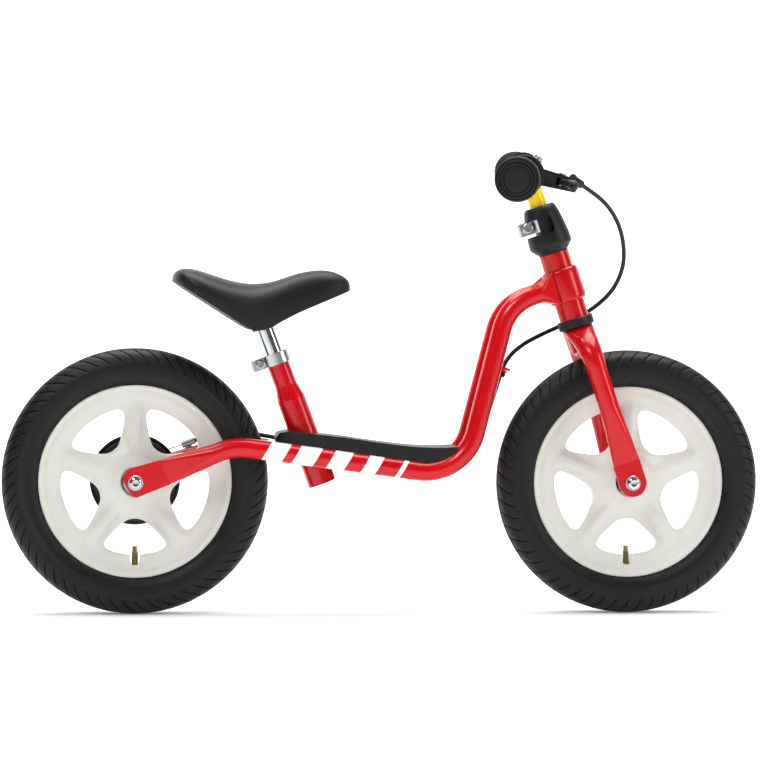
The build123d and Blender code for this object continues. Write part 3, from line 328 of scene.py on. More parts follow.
def tyre_rubber(name, hub, colour):
    """Vulcanised rubber: nearly matt, with a band of fine moulded ribs round the sidewall."""
    finish, tree, shader = new_finish(name)
    centred = add_node(
        tree,
        "ShaderNodeMapping",
        {"Vector": surface_point(tree), "Location": (-hub.x, -hub.y, -hub.z)},
    ).outputs["Vector"]
    parts = add_node(tree, "ShaderNodeSeparateXYZ", {"Vector": centred}).outputs
    turn = add_node(
        tree, "ShaderNodeMath", {0: parts["Z"], 1: parts["X"]}, operation="ARCTAN2"
    ).outputs[0]
    flat = add_node(
        tree, "ShaderNodeCombineXYZ", {"X": parts["X"], "Y": 0.0, "Z": parts["Z"]}
    ).outputs["Vector"]
    radius = add_node(
        tree, "ShaderNodeVectorMath", {0: flat}, operation="LENGTH"
    ).outputs["Value"]
    # fine radial ribs, 1.3 mm apart, between two radii of the sidewall
    band_radius, rib_spacing = 125, 1.3
    rib_count = 2 * math.pi * band_radius / rib_spacing
    wave = add_node(tree, "ShaderNodeMath", {0: turn, 1: rib_count}, operation="MULTIPLY")
    rib = add_node(tree, "ShaderNodeMath", {0: wave.outputs[0]}, operation="SINE").outputs[0]
    band_low = add_node(
        tree,
        "ShaderNodeMapRange",
        {"Value": radius, "From Min": 121 * MM, "From Max": 122 * MM},
    ).outputs["Result"]
    band_high = add_node(
        tree,
        "ShaderNodeMapRange",
        {"Value": radius, "From Min": 131 * MM, "From Max": 130 * MM},
    ).outputs["Result"]
    band = add_node(
        tree, "ShaderNodeMath", {0: band_low, 1: band_high}, operation="MULTIPLY"
    ).outputs[0]
    ribs = add_node(tree, "ShaderNodeMath", {0: rib, 1: band}, operation="MULTIPLY").outputs[0]
    rib_bump = add_node(
        tree,
        "ShaderNodeBump",
        {"Height": ribs, "Strength": 0.5, "Distance": 0.25 * MM},
    ).outputs["Normal"]
    grain = add_node(
        tree,
        "ShaderNodeTexNoise",
        {"Vector": centred, "Scale": 1 / (0.9 * MM), "Detail": 3.0},
    ).outputs["Fac"]
    bumps = add_node(
        tree,
        "ShaderNodeBump",
        {"Height": grain, "Strength": 0.25, "Distance": 0.12 * MM, "Normal": rib_bump},
    ).outputs["Normal"]
    fill_inputs(
        tree,
        shader,
        {
            "Base Color": tinted(tree, centred, colour, 0.22, 22.0),
            "Normal": bumps,
            "Roughness": 0.5,
            "IOR": 1.52,
            "Specular IOR Level": 0.28,
        },
    )
    return finish


def integral_skin(name, colour):
    """Self-skinned polyurethane foam: soft satin with a shallow pebbled leather grain."""
    finish, tree, shader = new_finish(name)
    point = surface_point(tree)
    pebbles = add_node(
        tree,
        "ShaderNodeTexVoronoi",
        {"Vector": point, "Scale": 1 / (1.1 * MM)},
        feature="DISTANCE_TO_EDGE",
    )
    bumps = add_node(
        tree,
        "ShaderNodeBump",
        {"Height": pebbles.outputs["Distance"], "Strength": 0.22, "Distance": 0.12 * MM},
    )
    fill_inputs(
        tree,
        shader,
        {
            "Base Color": tinted(tree, point, colour, 0.12, 30.0),
            "Normal": bumps.outputs["Normal"],
            "Roughness": 0.46,
            "IOR": 1.5,
            "Specular IOR Level": 0.3,
        },
    )
    return finish


def bare_metal(name, colour, roughness, grain_mm, depth_mm, stretch=(1.0, 1.0, 1.0)):
    """Bare or plated metal: its grain and small handling marks break up the reflection."""
    finish, tree, shader = new_finish(name)
    point = add_node(
        tree, "ShaderNodeMapping", {"Vector": surface_point(tree), "Scale": stretch}
    ).outputs["Vector"]
    grain = add_node(
        tree,
        "ShaderNodeTexNoise",
        {"Vector": point, "Scale": 1 / (grain_mm * MM), "Detail": 4.0},
    )
    bumps = add_node(
        tree,
        "ShaderNodeBump",
        {"Height": grain.outputs["Fac"], "Strength": 0.15, "Distance": depth_mm * MM},
    )
    marks = add_node(
        tree,
        "ShaderNodeMapRange",
        {"Value": grain.outputs["Fac"], "To Min": roughness * 0.75, "To Max": roughness * 1.3},
    )
    fill_inputs(
        tree,
        shader,
        {
            "Base Color": tinted(tree, point, colour, 0.05, 60.0),
            "Roughness": marks.outputs["Result"],
            "Normal": bumps.outputs["Normal"],
            "Metallic": 1.0,
        },
    )
    return finish


FINISHES = {}


def make_finishes(colours):
    """Makes every finish once, named for what the real surface is."""
    main_bars = slanted_bars(-0.246, -0.078, 0.042, 0.6)
    FINISHES.update(
        {
            "red": powder_coat("red_powder_coat", colours.enamel_red, main_bars),
            "red_plain": powder_coat("red_powder_coat_plain", colours.enamel_red),
            "yellow": powder_coat("yellow_powder_coat", colours.enamel_yellow),
            "white": moulded_plastic(
                "white_moulded_nylon", colours.rim_white, 0.33, 1.6, 0.05, 0.015
            ),
            "front_tyre": tyre_rubber("front_tyre_rubber", FRONT_HUB, colours.tyre_black),
            "rear_tyre": tyre_rubber("rear_tyre_rubber", REAR_HUB, colours.tyre_black),
            "grip": moulded_plastic("grip_thermoplastic", colours.tyre_black, 0.6, 0.8, 0.1),
            "plastic": moulded_plastic(
                "black_moulded_nylon", colours.plastic_black, 0.45, 0.7, 0.08
            ),
            "skin": integral_skin("saddle_foam_skin", colours.skin_black),
            "sheath": moulded_plastic("cable_sheath_pvc", linear("#0f0f10"), 0.3, 2.0, 0.02),
            "chrome": bare_metal("polished_chrome", linear("#c9cdd2"), 0.07, 3.0, 0.01),
            "aluminium": bare_metal(
                "tumbled_cast_aluminium", linear("#c6c8ca"), 0.3, 0.6, 0.06
            ),
            "zinc": bare_metal("zinc_plated_steel", linear("#b4b6b8"), 0.28, 0.9, 0.04),
            "dark": moulded_plastic("black_dipped_steel", linear("#141416"), 0.38, 1.2, 0.05),
            "lining": moulded_plastic("brake_lining", linear("#4a3c30"), 0.85, 0.6, 0.2),
            "brass": bare_metal("nickelled_brass", linear("#b5a67c"), 0.3, 0.7, 0.03),
        }
    )


NODE_FINISHES = {
    "red": ["frame_tube_right", "frame_tube_left"],
    "red_plain": [
        "head_tube", "head_band", "seat_tube", "seat_stub_right", "seat_stub_left",
        "guide_plate", "fork_blade_right", "fork_blade_left", "fork_steerer",
    ],
    "yellow": ["handlebar_stem", "handlebar_bar"],
    "white": ["rear_rim", "front_rim"],
    "front_tyre": ["front_tyre"],
    "rear_tyre": ["rear_tyre"],
    "grip": ["grip_right", "grip_left", "cable_grommet"],
    "plastic": [
        "footboard", "headset_upper_cup", "headset_lower_cup", "steering_cover",
        "saddle_base", "lever_bracket", "brake_lever", "cable_adjuster",
    ],
    "skin": ["saddle_cushion"],
    "sheath": ["brake_cable_upper", "brake_cable_lower", "brake_cable_rear"],
    "chrome": [
        "seat_post", "rear_axle_bolt_right", "rear_axle_bolt_left",
        "front_axle_bolt_right", "front_axle_bolt_left",
    ],
    "aluminium": ["seat_clamp", "stem_clamp"],
    "zinc": [
        "seat_clamp_bolt", "seat_clamp_nut", "stem_clamp_bolt", "stem_clamp_nut",
        "cable_stop", "brake_wire", "rear_axle", "front_axle", "brake_anchor_bolt",
        "lever_pivot_pin", "rear_bearings", "front_bearings", "brake_arm",
    ],
    "dark": ["brake_plate", "rear_brake_drum", "rear_spacers", "front_spacers"],
    "lining": ["brake_shoes"],
    "brass": ["rear_valve", "front_valve"],
}


# ------------------------------------------------------------------ modelling helpers


def deselect_all():
    """Clears the selection, because an operator acts on all that is selected."""
    for item in bpy.context.selected_objects:
        item.select_set(False)


def start_vertex(point):
    """Starts a new mesh object in edit mode with one selected vertex."""
    deselect_all()
    bpy.ops.mesh.primitive_plane_add(size=0.001, location=(0, 0, 0))
    piece = bpy.context.object
    bpy.ops.object.mode_set(mode="EDIT")
    bpy.ops.mesh.select_all(action="SELECT")
    bpy.ops.mesh.merge(type="CENTER")
    bpy.ops.transform.translate(value=point)
    return piece


def extrude_along(points):
    """Extrudes the selected vertex from place to place."""
    for before, after in zip(points, points[1:]):
        bpy.ops.mesh.extrude_region_move(
            TRANSFORM_OT_translate={"value": Vector(after) - Vector(before)}
        )


def close_up(distance=1e-6):
    """Merges doubles and turns all faces outwards, then leaves edit mode."""
    bpy.ops.mesh.select_all(action="SELECT")
    bpy.ops.mesh.remove_doubles(threshold=distance)
    bpy.ops.mesh.normals_make_consistent(inside=False)
    bpy.ops.object.mode_set(mode="OBJECT")


def turned(name, profile, centre, axis, steps=64):
    """A body of revolution: profile pairs are (distance along the axis, radius)."""
    axis = Vector(axis).normalized()
    side = axis.orthogonal().normalized()
    points = [Vector(centre) + axis * along + side * radius for along, radius in profile]
    piece = start_vertex(points[0])
    extrude_along(points)
    bpy.ops.mesh.select_all(action="SELECT")
    bpy.ops.mesh.spin(
        steps=steps, angle=2 * math.pi, center=centre, axis=axis, dupli=False
    )
    close_up()
    piece.name = name
    return piece


def turned_mm(name, profile, centre, axis, steps=64):
    """A body of revolution whose profile is in mm."""
    return turned(name, [(along * MM, r * MM) for along, r in profile], centre, axis, steps)


def block(centre, axes, sizes):
    """A box by its centre, three directions and three sizes in mm."""
    deselect_all()
    bpy.ops.mesh.primitive_cube_add(size=1, location=(0, 0, 0))
    piece = bpy.context.object
    place = Matrix([axis.normalized() * size * MM for axis, size in zip(axes, sizes)])
    piece.data.transform(Matrix.Translation(centre) @ place.transposed().to_4x4())
    bpy.ops.object.mode_set(mode="EDIT")
    close_up()
    return piece


def soften(piece, width_mm, segments=3, angle=30):
    """Rounds the sharp edges of a piece."""
    apply_modifier(
        piece,
        "BEVEL",
        width=width_mm * MM,
        segments=segments,
        limit_method="ANGLE",
        angle_limit=math.radians(angle),
    )


def cut_away(piece, tool):
    """Cuts one piece's shape out of another, and throws the tool away."""
    apply_modifier(piece, "BOOLEAN", operation="DIFFERENCE", object=tool, solver="EXACT")
    bpy.data.objects.remove(tool)


def join(first, *others):
    """Joins pieces into the first one."""
    deselect_all()
    for piece in (first, *others):
        piece.select_set(True)
    bpy.context.view_layer.objects.active = first
    bpy.ops.object.join()
    return first


def skin_grid(rows):
    """A quad skin over rows of points, every row as long as the first."""
    deselect_all()
    bpy.ops.mesh.primitive_grid_add(
        x_subdivisions=len(rows[0]) - 1, y_subdivisions=len(rows) - 1, size=1.0
    )
    piece = bpy.context.object
    verts = sorted(piece.data.vertices, key=lambda v: (round(v.co.y, 6), round(v.co.x, 6)))
    places = [point for row in rows for point in row]
    for vert, point in zip(verts, places):
        vert.co = point
    return piece


def pick(piece):
    """Makes a piece the only selected object, and the active one."""
    deselect_all()
    piece.select_set(True)
    bpy.context.view_layer.objects.active = piece


def merge_and_face(piece, distance=1e-5):
    """Merges doubles and turns all faces outwards."""
    pick(piece)
    bpy.ops.object.mode_set(mode="EDIT")
    close_up(distance)


def ease(value):
    """A smooth step from 0 to 1."""
    value = max(0.0, min(1.0, value))
    return value * value * (3 - 2 * value)


def apply_modifier(piece, kind, **settings):
    """Adds a modifier, sets it and applies it."""
    modifier = piece.modifiers.new(kind.lower(), kind)
    for key, value in settings.items():
        setattr(modifier, key, value)
    bpy.context.view_layer.objects.active = piece
    bpy.ops.object.modifier_apply(modifier=modifier.name)


def settle(piece):
    """Moves an object's place into its mesh, so that the object sits at the origin."""
    pick(piece)
    bpy.ops.object.transform_apply(location=True, rotation=True, scale=True)


def smooth(piece, degrees=35):
    """Shades smooth across edges softer than the angle."""
    pick(piece)
    bpy.ops.object.shade_smooth_by_angle(angle=math.radians(degrees))


def hand_over(piece, name, body, finish, replaced=(), degrees=35):
    """Names, paints and mounts a finished piece."""
    settle(piece)
    smooth(piece, degrees)
    piece.name = name
    piece.data.name = name
    piece.data.materials.clear()
    piece.data.materials.append(FINISHES[finish])
    if body:
        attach(piece, body)
    if replaced:
        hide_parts(*replaced)
    return piece


# ------------------------------------------------------------------ tyres


# Radii of the tyre's section in mm: the middle of the sidewall, and where the tread starts.
SIDEWALL_MIDDLE, TREAD_START = 126.0, 133.0


def tyre_section():
    """Half section from crown to bead, as (distance from mid-plane, radius, tread share)."""
    return [
        (0.0, 150.0, 0.0), (3.0, 149.9, 0.0), (5.5, 149.6, 0.0), (6.3, 148.2, 0.0),
        (7.4, 148.1, 0.0), (8.2, 149.1, 0.6), (11.0, 148.2, 1.0), (14.0, 146.8, 1.0),
        (16.8, 144.9, 1.0), (19.0, 142.4, 1.0), (20.7, 139.6, 1.0), (21.9, 136.6, 0.9),
        (22.7, 133.8, 0.3), (23.1, 132.6, 0.0), (23.0, 131.6, 0.0), (23.4, 130.6, 0.0),
        (23.4, 126.0, 0.0), (22.9, 121.0, 0.0), (21.6, 116.4, 0.0), (19.6, 112.8, 0.0),
        (17.4, 110.6, 0.0), (15.9, 109.6, 0.0), (14.8, 109.25, 0.0), (12.4, 109.2, 0.0),
        (12.2, 103.4, 0.0), (9.0, 103.4, 0.0), (9.0, 108.0, 0.0), (14.0, 113.0, 0.0),
        (19.0, 124.0, 0.0), (17.0, 138.0, 0.0), (8.0, 144.5, 0.0), (0.0, 145.5, 0.0),
    ]


def tread_segment(hub, pitch, slant, groove_share, depth):
    """One block of the tyre: a grid bent to the section, with its groove pressed in."""
    half = tyre_section()
    ring = half + [(-across, radius, share) for across, radius, share in half[-2::-1]]
    columns = [0.0, groove_share * 0.2, groove_share * 0.8, groove_share, 0.4, 0.7, 1.0]
    rows = []
    for across, radius, share in ring:
        row = []
        for column, part in enumerate(columns):
            turn = (part + slant(radius) * (share > 0)) * pitch
            inward = Vector((across, radius - SIDEWALL_MIDDLE)).normalized()
            sink = depth / MM * share if column in (1, 2) else 0.0
            reach = (radius - sink * inward.y) * MM
            beside = (across - sink * inward.x) * MM
            row.append(hub + Vector((reach * math.sin(turn), beside, reach * math.cos(turn))))
        rows.append(row)
    return skin_grid(rows)


def hooked_slant(radius):
    """Front tread: each groove starts square to the rim and hooks over at the crown."""
    return 0.62 * (max(0.0, radius - TREAD_START) / 15) ** 2


def swept_slant(radius):
    """Rear tread: long blades swept the other way."""
    return -1.15 * (max(0.0, radius - TREAD_START) / 15) ** 1.4


def make_tyre(name, hub, body, slant, groove_share, sizes):
    """One tyre: its tread block repeated round the hub."""
    pitch = 2 * math.pi / sizes.tread_pitch_count
    piece = tread_segment(hub, pitch, slant, groove_share, sizes.groove_depth)
    bpy.ops.object.mode_set(mode="EDIT")
    bpy.ops.mesh.select_all(action="SELECT")
    bpy.ops.mesh.spin(
        steps=sizes.tread_pitch_count,
        dupli=True,
        angle=2 * math.pi,
        center=hub,
        axis=(0, 1, 0),
    )
    close_up(2e-5)
    soften(piece, 0.35, 2, 40)
    return hand_over(piece, name + "_tread", body, name, [name], 32)


def add_whiskers(name, hub, body, count):
    """Short rubber vent whiskers left by the mould, low on both sidewalls."""
    hairs = []
    for index in range(count):
        turn = 2 * math.pi * (index + 0.3 * (index % 3)) / count
        out = Vector((math.sin(turn), 0, math.cos(turn)))
        side = -1 if index % 2 == 0 else 1
        foot = hub + out * 112.5 * MM + Vector((0, side * 19.0 * MM, 0))
        hairs.append(
            turned(
                "whisker",
                [(0, 0), (0, 0.75 * MM), (3.2 * MM, 0.5 * MM), (3.6 * MM, 0)],
                foot,
                Vector((0, side, 0)) - out * 0.5,
                8,
            )
        )
    piece = join(*hairs)
    return hand_over(piece, name + "_whiskers", body, name)


class BIKE_OT_tyres(bpy.types.Operator):
    """Models both air tyres with their grooved tread, and vent whiskers on the front tyre"""

    bl_idname = "bike.tyres"
    bl_label = "Tyres"

    def execute(self, context):
        sizes = context.scene.bike_sizes
        make_tyre("front_tyre", FRONT_HUB, "front_wheel", hooked_slant, 0.1, sizes)
        make_tyre("rear_tyre", REAR_HUB, "rear_wheel", swept_slant, 0.13, sizes)
        add_whiskers("front_tyre", FRONT_HUB, "front_wheel", sizes.whisker_count)
        return {"FINISHED"}


# ------------------------------------------------------------------ moulded wheels

# Half outline of the opening between two spokes: (sideways, out from the hub), mm.
WINDOW_HALF = [
    (0.0, 42.0), (8.5, 43.8), (15.7, 49.2), (23.0, 56.0), (29.6, 62.6), (33.8, 68.6),
    (34.2, 73.2), (30.8, 77.2), (23.0, 80.4), (12.0, 82.8), (0.0, 83.4),
]
HUB_RING, RIM_RING = 28.0, 90.0
HALF_CELL = math.radians(36)
# How far the plain web and the hub's root stand out from the wheel's mid-plane (mm).
WEB_HALF, HUB_HALF = 6.5, 16.5
HALF_STEPS, CORNER_LOW, CORNER_HIGH = 20, 5, 14


def window_outline():
    """The opening's outline as an even loop of points."""
    points = []
    for index in range(HALF_STEPS + 1):
        along = index * (len(WINDOW_HALF) - 1) / HALF_STEPS
        low = min(int(along), len(WINDOW_HALF) - 2)
        p1, p2 = Vector(WINDOW_HALF[low]), Vector(WINDOW_HALF[low + 1])
        p0 = Vector(WINDOW_HALF[low - 1]) if low else Vector((-p2.x, p2.y))
        last = low + 2 > len(WINDOW_HALF) - 1
        p3 = Vector((-p1.x, p1.y)) if last else Vector(WINDOW_HALF[low + 2])
        t = along - low
        points.append(
            0.5
            * (
                2 * p1
                + (p2 - p0) * t
                + (2 * p0 - 5 * p1 + 4 * p2 - p3) * t * t
                + (3 * p1 - p0 - 3 * p2 + p3) * t * t * t
            )
        )
    return points + [Vector((-p.x, p.y)) for p in points[-2::-1]]


def cell_outline():
    """The edge of one spoke-to-spoke cell, point for point with the opening's outline."""
    points = []
    for index in range(HALF_STEPS + 1):
        if index <= CORNER_LOW:
            turn, radius = HALF_CELL * index / CORNER_LOW, HUB_RING
        elif index <= CORNER_HIGH:
            share = (index - CORNER_LOW) / (CORNER_HIGH - CORNER_LOW)
            turn, radius = HALF_CELL, HUB_RING + (RIM_RING - HUB_RING) * share
        else:
            share = (index - CORNER_HIGH) / (HALF_STEPS - CORNER_HIGH)
            turn, radius = HALF_CELL * (1 - share), RIM_RING
        points.append(Vector((radius * math.sin(turn), radius * math.cos(turn))))
    return points + [Vector((-p.x, p.y)) for p in points[-2::-1]]


def wheel_face(point, ridged):
    """How far the wheel's face stands out from its mid-plane, in mm."""
    radius = point.length
    turn = abs(math.atan2(point.x, point.y))
    beside = radius * math.sin(max(0.0, HALF_CELL - turn))
    plain = WEB_HALF + 2.0 * ease((radius - 78) / 12)
    if not ridged:
        return plain
    along = (radius - HUB_RING) / 56
    web = plain + 10.0 * (1 - ease((radius - HUB_RING) / 26))
    crest = HUB_HALF - 5.0 * along
    width = 6.2 + 2.6 * along
    ridge = math.exp(-((beside / width) ** 4)) * (1 - ease((radius - 81) / 8))
    return web + max(0.0, crest - web) * ridge


def wheel_cell(hub, left_ridged):
    """One opening with the halves of the spokes on both its sides."""
    inner, outer = window_outline(), cell_outline()

    def row(share, inset, side):
        points = []
        for edge, opening in zip(outer, inner):
            place = edge.lerp(opening, share)
            out = wheel_face(place, side < 0 or left_ridged) - inset
            points.append(hub + Vector((place.x, side * out, -place.y)) * MM)
        return points

    steps = [(0, 0), (0.16, 0), (0.32, 0), (0.48, 0), (0.64, 0), (0.78, 0), (0.89, 0.1)]
    steps += [(0.95, 0.6), (0.99, 1.9)]
    steps += [(1.0, 4.0)]
    rows = [row(share, inset, -1) for share, inset in steps]
    rows += [row(share, inset, 1) for share, inset in reversed(steps)]
    return skin_grid(rows)


def wheel_ring(hub, profile, steps):
    """A ring of the wheel from (across, radius) pairs in mm, its points under the cells."""
    points = [hub + Vector((0, across, -radius)) * MM for across, radius in profile]
    piece = start_vertex(points[0])
    extrude_along(points)
    bpy.ops.mesh.select_all(action="SELECT")
    bpy.ops.mesh.spin(steps=steps, angle=2 * math.pi, center=hub, axis=(0, 1, 0))
    bpy.ops.object.mode_set(mode="OBJECT")
    return piece


def make_wheel(name, hub, body, left_ridged):
    """One moulded wheel: five cells between a hub and a rim, with a slot for the valve."""
    cells = wheel_cell(hub, left_ridged)
    bpy.ops.object.mode_set(mode="EDIT")
    bpy.ops.mesh.select_all(action="SELECT")
    bpy.ops.mesh.spin(steps=5, dupli=True, angle=2 * math.pi, center=hub, axis=(0, 1, 0))
    bpy.ops.object.mode_set(mode="OBJECT")
    left_root = HUB_HALF if left_ridged else WEB_HALF
    near_hub = [(-HUB_HALF, HUB_RING), (-20.0, 24.5), (-23.8, 20.6), (-26.2, 18.9), (-27, 17.8)]
    far_hub = [(27, 17.8), (26.2, 18.5)]
    if left_ridged:
        far_hub += [(23.8, 20.6), (20.0, 24.5)]
    else:
        far_hub += [(14.0, 18.5), (8.6, 18.9), (6.8, 21.0)]
    hub_ring = [*near_hub, (-27, 14.2), (27, 14.2), *far_hub, (left_root, HUB_RING)]
    lip = [
        (8.5, RIM_RING), (8.9, 94.5), (10.0, 98.2), (12.2, 101.0), (14.4, 102.9), (15.4, 104.6),
        (15.5, 107.8), (15.1, 108.9), (13.6, 109.0), (13.0, 108.3), (12.8, 103.4), (12.4, 102.2),
        (9.0, 101.6),
    ]
    rim_ring = [(-across, radius) for across, radius in lip]
    rim_ring += [(across, radius) for across, radius in reversed(lip)]
    wheel = join(cells, wheel_ring(hub, hub_ring, 50), wheel_ring(hub, rim_ring, 60))
    merge_and_face(wheel, 2e-5)
    apply_modifier(wheel, "SUBSURF", levels=1, render_levels=1)
    axes = [Vector((1, 0, 0)), Vector((0, 1, 0)), Vector((0, 0, 1))]
    # the slot under the valve
    slot = block(hub + Vector((0, 0, -86.0)) * MM, axes, [10.6, 40.0, 18.0])
    soften(slot, 4.6, 6)
    cut_away(wheel, slot)
    return hand_over(wheel, name + "_moulding", body, "white", [name], 50)


class BIKE_OT_wheels(bpy.types.Operator):
    """Models the five-spoke moulded wheels"""

    bl_idname = "bike.wheels"
    bl_label = "Wheels"

    def execute(self, context):
        make_wheel("front_rim", FRONT_HUB, "front_wheel", True)
        make_wheel("rear_rim", REAR_HUB, "rear_wheel", False)
        return {"FINISHED"}


# ------------------------------------------------------------------ axle bolts and valves


# Height of an axle bolt's head with its washer.
BOLT_HEAD = 7.0 * MM


def axle_bolt(name, hub, side, body):
    """A domed socket-head axle bolt on a serrated washer."""
    low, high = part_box(name)
    outer = low.y if side < 0 else high.y
    out = Vector((0, side, 0))
    centre = Vector((hub.x, outer - side * BOLT_HEAD, hub.z))
    profile = [
        (0, 0), (0, 8.5), (1.2, 8.5), (1.5, 8.2), (1.5, 7.0), (1.9, 6.8), (4.6, 6.6),
        (5.9, 6.2), (6.7, 5.2), (7.0, 4.0), (6.9, 3.3), (4.2, 3.0), (4.0, 0),
    ]
    head = turned_mm(name, profile, centre, out, 48)
    teeth = []
    for index in range(24):
        turn = 2 * math.pi * index / 24
        radial = Vector((math.sin(turn), 0, math.cos(turn)))
        teeth.append(
            block(
                centre + out * 1.55 * MM + radial * 7.7 * MM,
                [radial, out, radial.cross(out)],
                [1.4, 0.5, 0.7],
            )
        )
    shank_length = max(0.0, high.y - low.y - BOLT_HEAD)
    shank = turned(
        "shank",
        [(0, 0), (0, 3 * MM), (shank_length, 3 * MM), (shank_length, 0)],
        centre,
        -out,
        24,
    )
    piece = join(head, shank, *teeth)
    return hand_over(piece, name + "_head", body, "chrome", [name], 30)


def valve_stem(name, hub, body):
    """A car-type valve: a threaded brass stem with its core, out of a rubber foot."""
    base = hub + Vector((0, 0, -107.5)) * MM
    profile = [(0, 0), (0, 3.85), (3.0, 3.7)]
    along = 3.0
    while along < 27.0:
        profile += [(along + 0.35, 3.85), (along + 0.7, 3.45)]
        along += 0.7
    profile += [(28.4, 3.2), (33.0, 3.2), (33.7, 2.9), (33.8, 1.9), (32.4, 1.8), (32.3, 0)]
    stem = turned_mm(name, profile, base, (0, 0, 1), 32)
    core = [(32.0, 0), (32.0, 0.6), (33.6, 0.5), (33.7, 0)]
    pin = turned_mm("pin", core, base, (0, 0, 1), 12)
    return hand_over(join(stem, pin), name + "_stem", body, "brass", [name], 30)


class BIKE_OT_small_metal(bpy.types.Operator):
    """Models the axle bolts and the valves"""

    bl_idname = "bike.small_metal"
    bl_label = "Axle bolts and valves"

    def execute(self, context):
        for side, word in ((-1, "right"), (1, "left")):
            axle_bolt(f"rear_axle_bolt_{word}", REAR_HUB, side, "frame")
            axle_bolt(f"front_axle_bolt_{word}", FRONT_HUB, side, "fork")
        valve_stem("front_valve", FRONT_HUB, "front_wheel")
        valve_stem("rear_valve", REAR_HUB, "rear_wheel")
        return {"FINISHED"}


# ------------------------------------------------------------------ grips


def make_grip(name, side, ribs):
    """A ribbed rubber grip with an inner flange and a large ringed safety knob."""
    start, out = bar_end(side)
    start = start + out * (96 - 45) * MM
    profile = [(0, 11.05), (0, 21.6), (0.6, 22.3), (3.2, 22.3), (4.4, 21.2), (5.0, 17.0)]
    pitch = 80.0 / ribs
    for index in range(ribs):
        low = 7.0 + index * pitch
        profile += [(low, 15.3), (low + 1.2, 16.0), (low + pitch - 2.4, 16.0)]
        profile += [(low + pitch - 1.2, 15.3)]
    profile += [
        (90.5, 16.2), (93.0, 19.0), (94.4, 22.6), (96.2, 24.2), (99.0, 24.6), (108.6, 24.6),
        (110.4, 23.9), (111.2, 22.9), (111.4, 22.3), (110.8, 21.7), (110.8, 21.2),
        (112.2, 20.9), (112.6, 20.3), (112.6, 19.0), (112.1, 18.5), (111.5, 18.3),
        (111.5, 17.9), (112.4, 17.6), (112.9, 17.1), (112.9, 15.6), (112.5, 15.0),
        (111.8, 14.8), (111.8, 14.4), (112.5, 13.9), (112.8, 13.0), (112.7, 6.0), (112.6, 0.0),
    ]
    piece = turned_mm(name, profile, start, out, 72)
    return hand_over(piece, name + "_rubber", "handlebar", "grip", [name], 28)


class BIKE_OT_grips(bpy.types.Operator):
    """Models both grips"""

    bl_idname = "bike.grips"
    bl_label = "Grips"

    def execute(self, context):
        ribs = context.scene.bike_sizes.grip_rib_count
        make_grip("grip_right", -1, ribs)
        make_grip("grip_left", 1, ribs)
        return {"FINISHED"}


# ------------------------------------------------------------------ steering cover and fork cup


def steer_point(ahead, left, up):
    """A place by its distances in mm from the front hub, along the steering's axes."""
    return FRONT_HUB + (STEER_AHEAD * ahead + Vector((0, left, 0)) + STEER_AXIS * up) * MM


class BIKE_OT_steering_cover(bpy.types.Operator):
    """Models the cover round the stem clamp, the fork's cup and shoulders and the head band"""

    bl_idname = "bike.steering_cover"
    bl_label = "Steering cover"

    def execute(self, context):
        across = Vector((0, 1, 0))
        axes = [STEER_AHEAD, across, STEER_AXIS]
        wall = [
            (276.2, 16.8), (276.2, 18.0), (277.0, 18.6), (280.4, 21.6), (283.0, 24.0),
            (284.6, 24.6), (287.6, 24.6), (293.0, 24.3), (301.0, 23.5), (310.0, 22.3),
            (319.0, 20.7), (325.0, 19.2), (328.4, 17.8), (330.0, 16.0), (330.0, 10.5),
            (327.0, 10.5), (325.6, 15.2), (318.0, 18.0), (309.0, 19.8), (300.0, 20.9),
            (290.0, 21.6), (283.0, 20.6), (278.0, 17.2), (276.2, 16.8),
        ]
        cover = turned_mm("steering_cover_shell", wall, FRONT_HUB, STEER_AXIS, 72)
        window = block(steer_point(-22, 0, 307.4), axes, [57, 80, 17.6])
        soften(window, 3.6, 4)
        cut_away(cover, window)
        for index in range(12):
            turn = 2 * math.pi * (index + 0.5) / 12
            out = STEER_AHEAD * math.cos(turn) + across * math.sin(turn)
            notch = block(
                FRONT_HUB + (STEER_AXIS * 276.4 + out * 22.2) * MM,
                [out, STEER_AXIS.cross(out), STEER_AXIS],
                [5.0, 5.0, 7.0],
            )
            cut_away(cover, notch)
        soften(cover, 0.5, 2, 40)
        hand_over(
            cover, "steering_cover_shell", "fork", "plastic",
            ["steering_cover"], 38,
        )
        lining = [
            (297.0, 18.2), (297.0, 19.3), (320.0, 18.0), (320.0, 17.2), (297.0, 18.2),
        ]
        liner = turned_mm("steering_cover_liner", lining, FRONT_HUB, STEER_AXIS)
        opening = block(steer_point(-39, 0, 308), axes, [60, 80, 60])
        cut_away(liner, opening)
        hand_over(liner, "steering_cover_liner", "fork", "plastic")
        flare = [
            (160.0, 12.0), (160.0, 15.05), (166.0, 15.1), (173.0, 15.3), (179.0, 16.2),
            (182.6, 17.6), (184.2, 18.0), (184.9, 17.4), (184.9, 12.8), (160.0, 12.0),
        ]
        cup = turned_mm("fork_cup", flare, FRONT_HUB, STEER_AXIS)
        hand_over(cup, "fork_cup", "fork", "red_plain")
        for side, word in ((-1, "right"), (1, "left")):
            hand_over(
                fork_shoulder(side), f"fork_shoulder_{word}", "fork", "red_plain",
                degrees=60,
            )
        rounded = [
            (216.3, 16.9), (216.3, 18.6), (217.0, 20.0), (218.6, 20.9), (221.0, 21.2),
            (249.0, 21.2), (252.0, 20.7), (254.2, 19.4), (255.3, 17.6), (255.3, 16.9),
            (216.3, 16.9),
        ]
        band = turned_mm("head_band_ring", rounded, FRONT_HUB, STEER_AXIS, 72)
        hand_over(band, "head_band_ring", "frame", "red_plain", ["head_band"], 50)
        return {"FINISHED"}


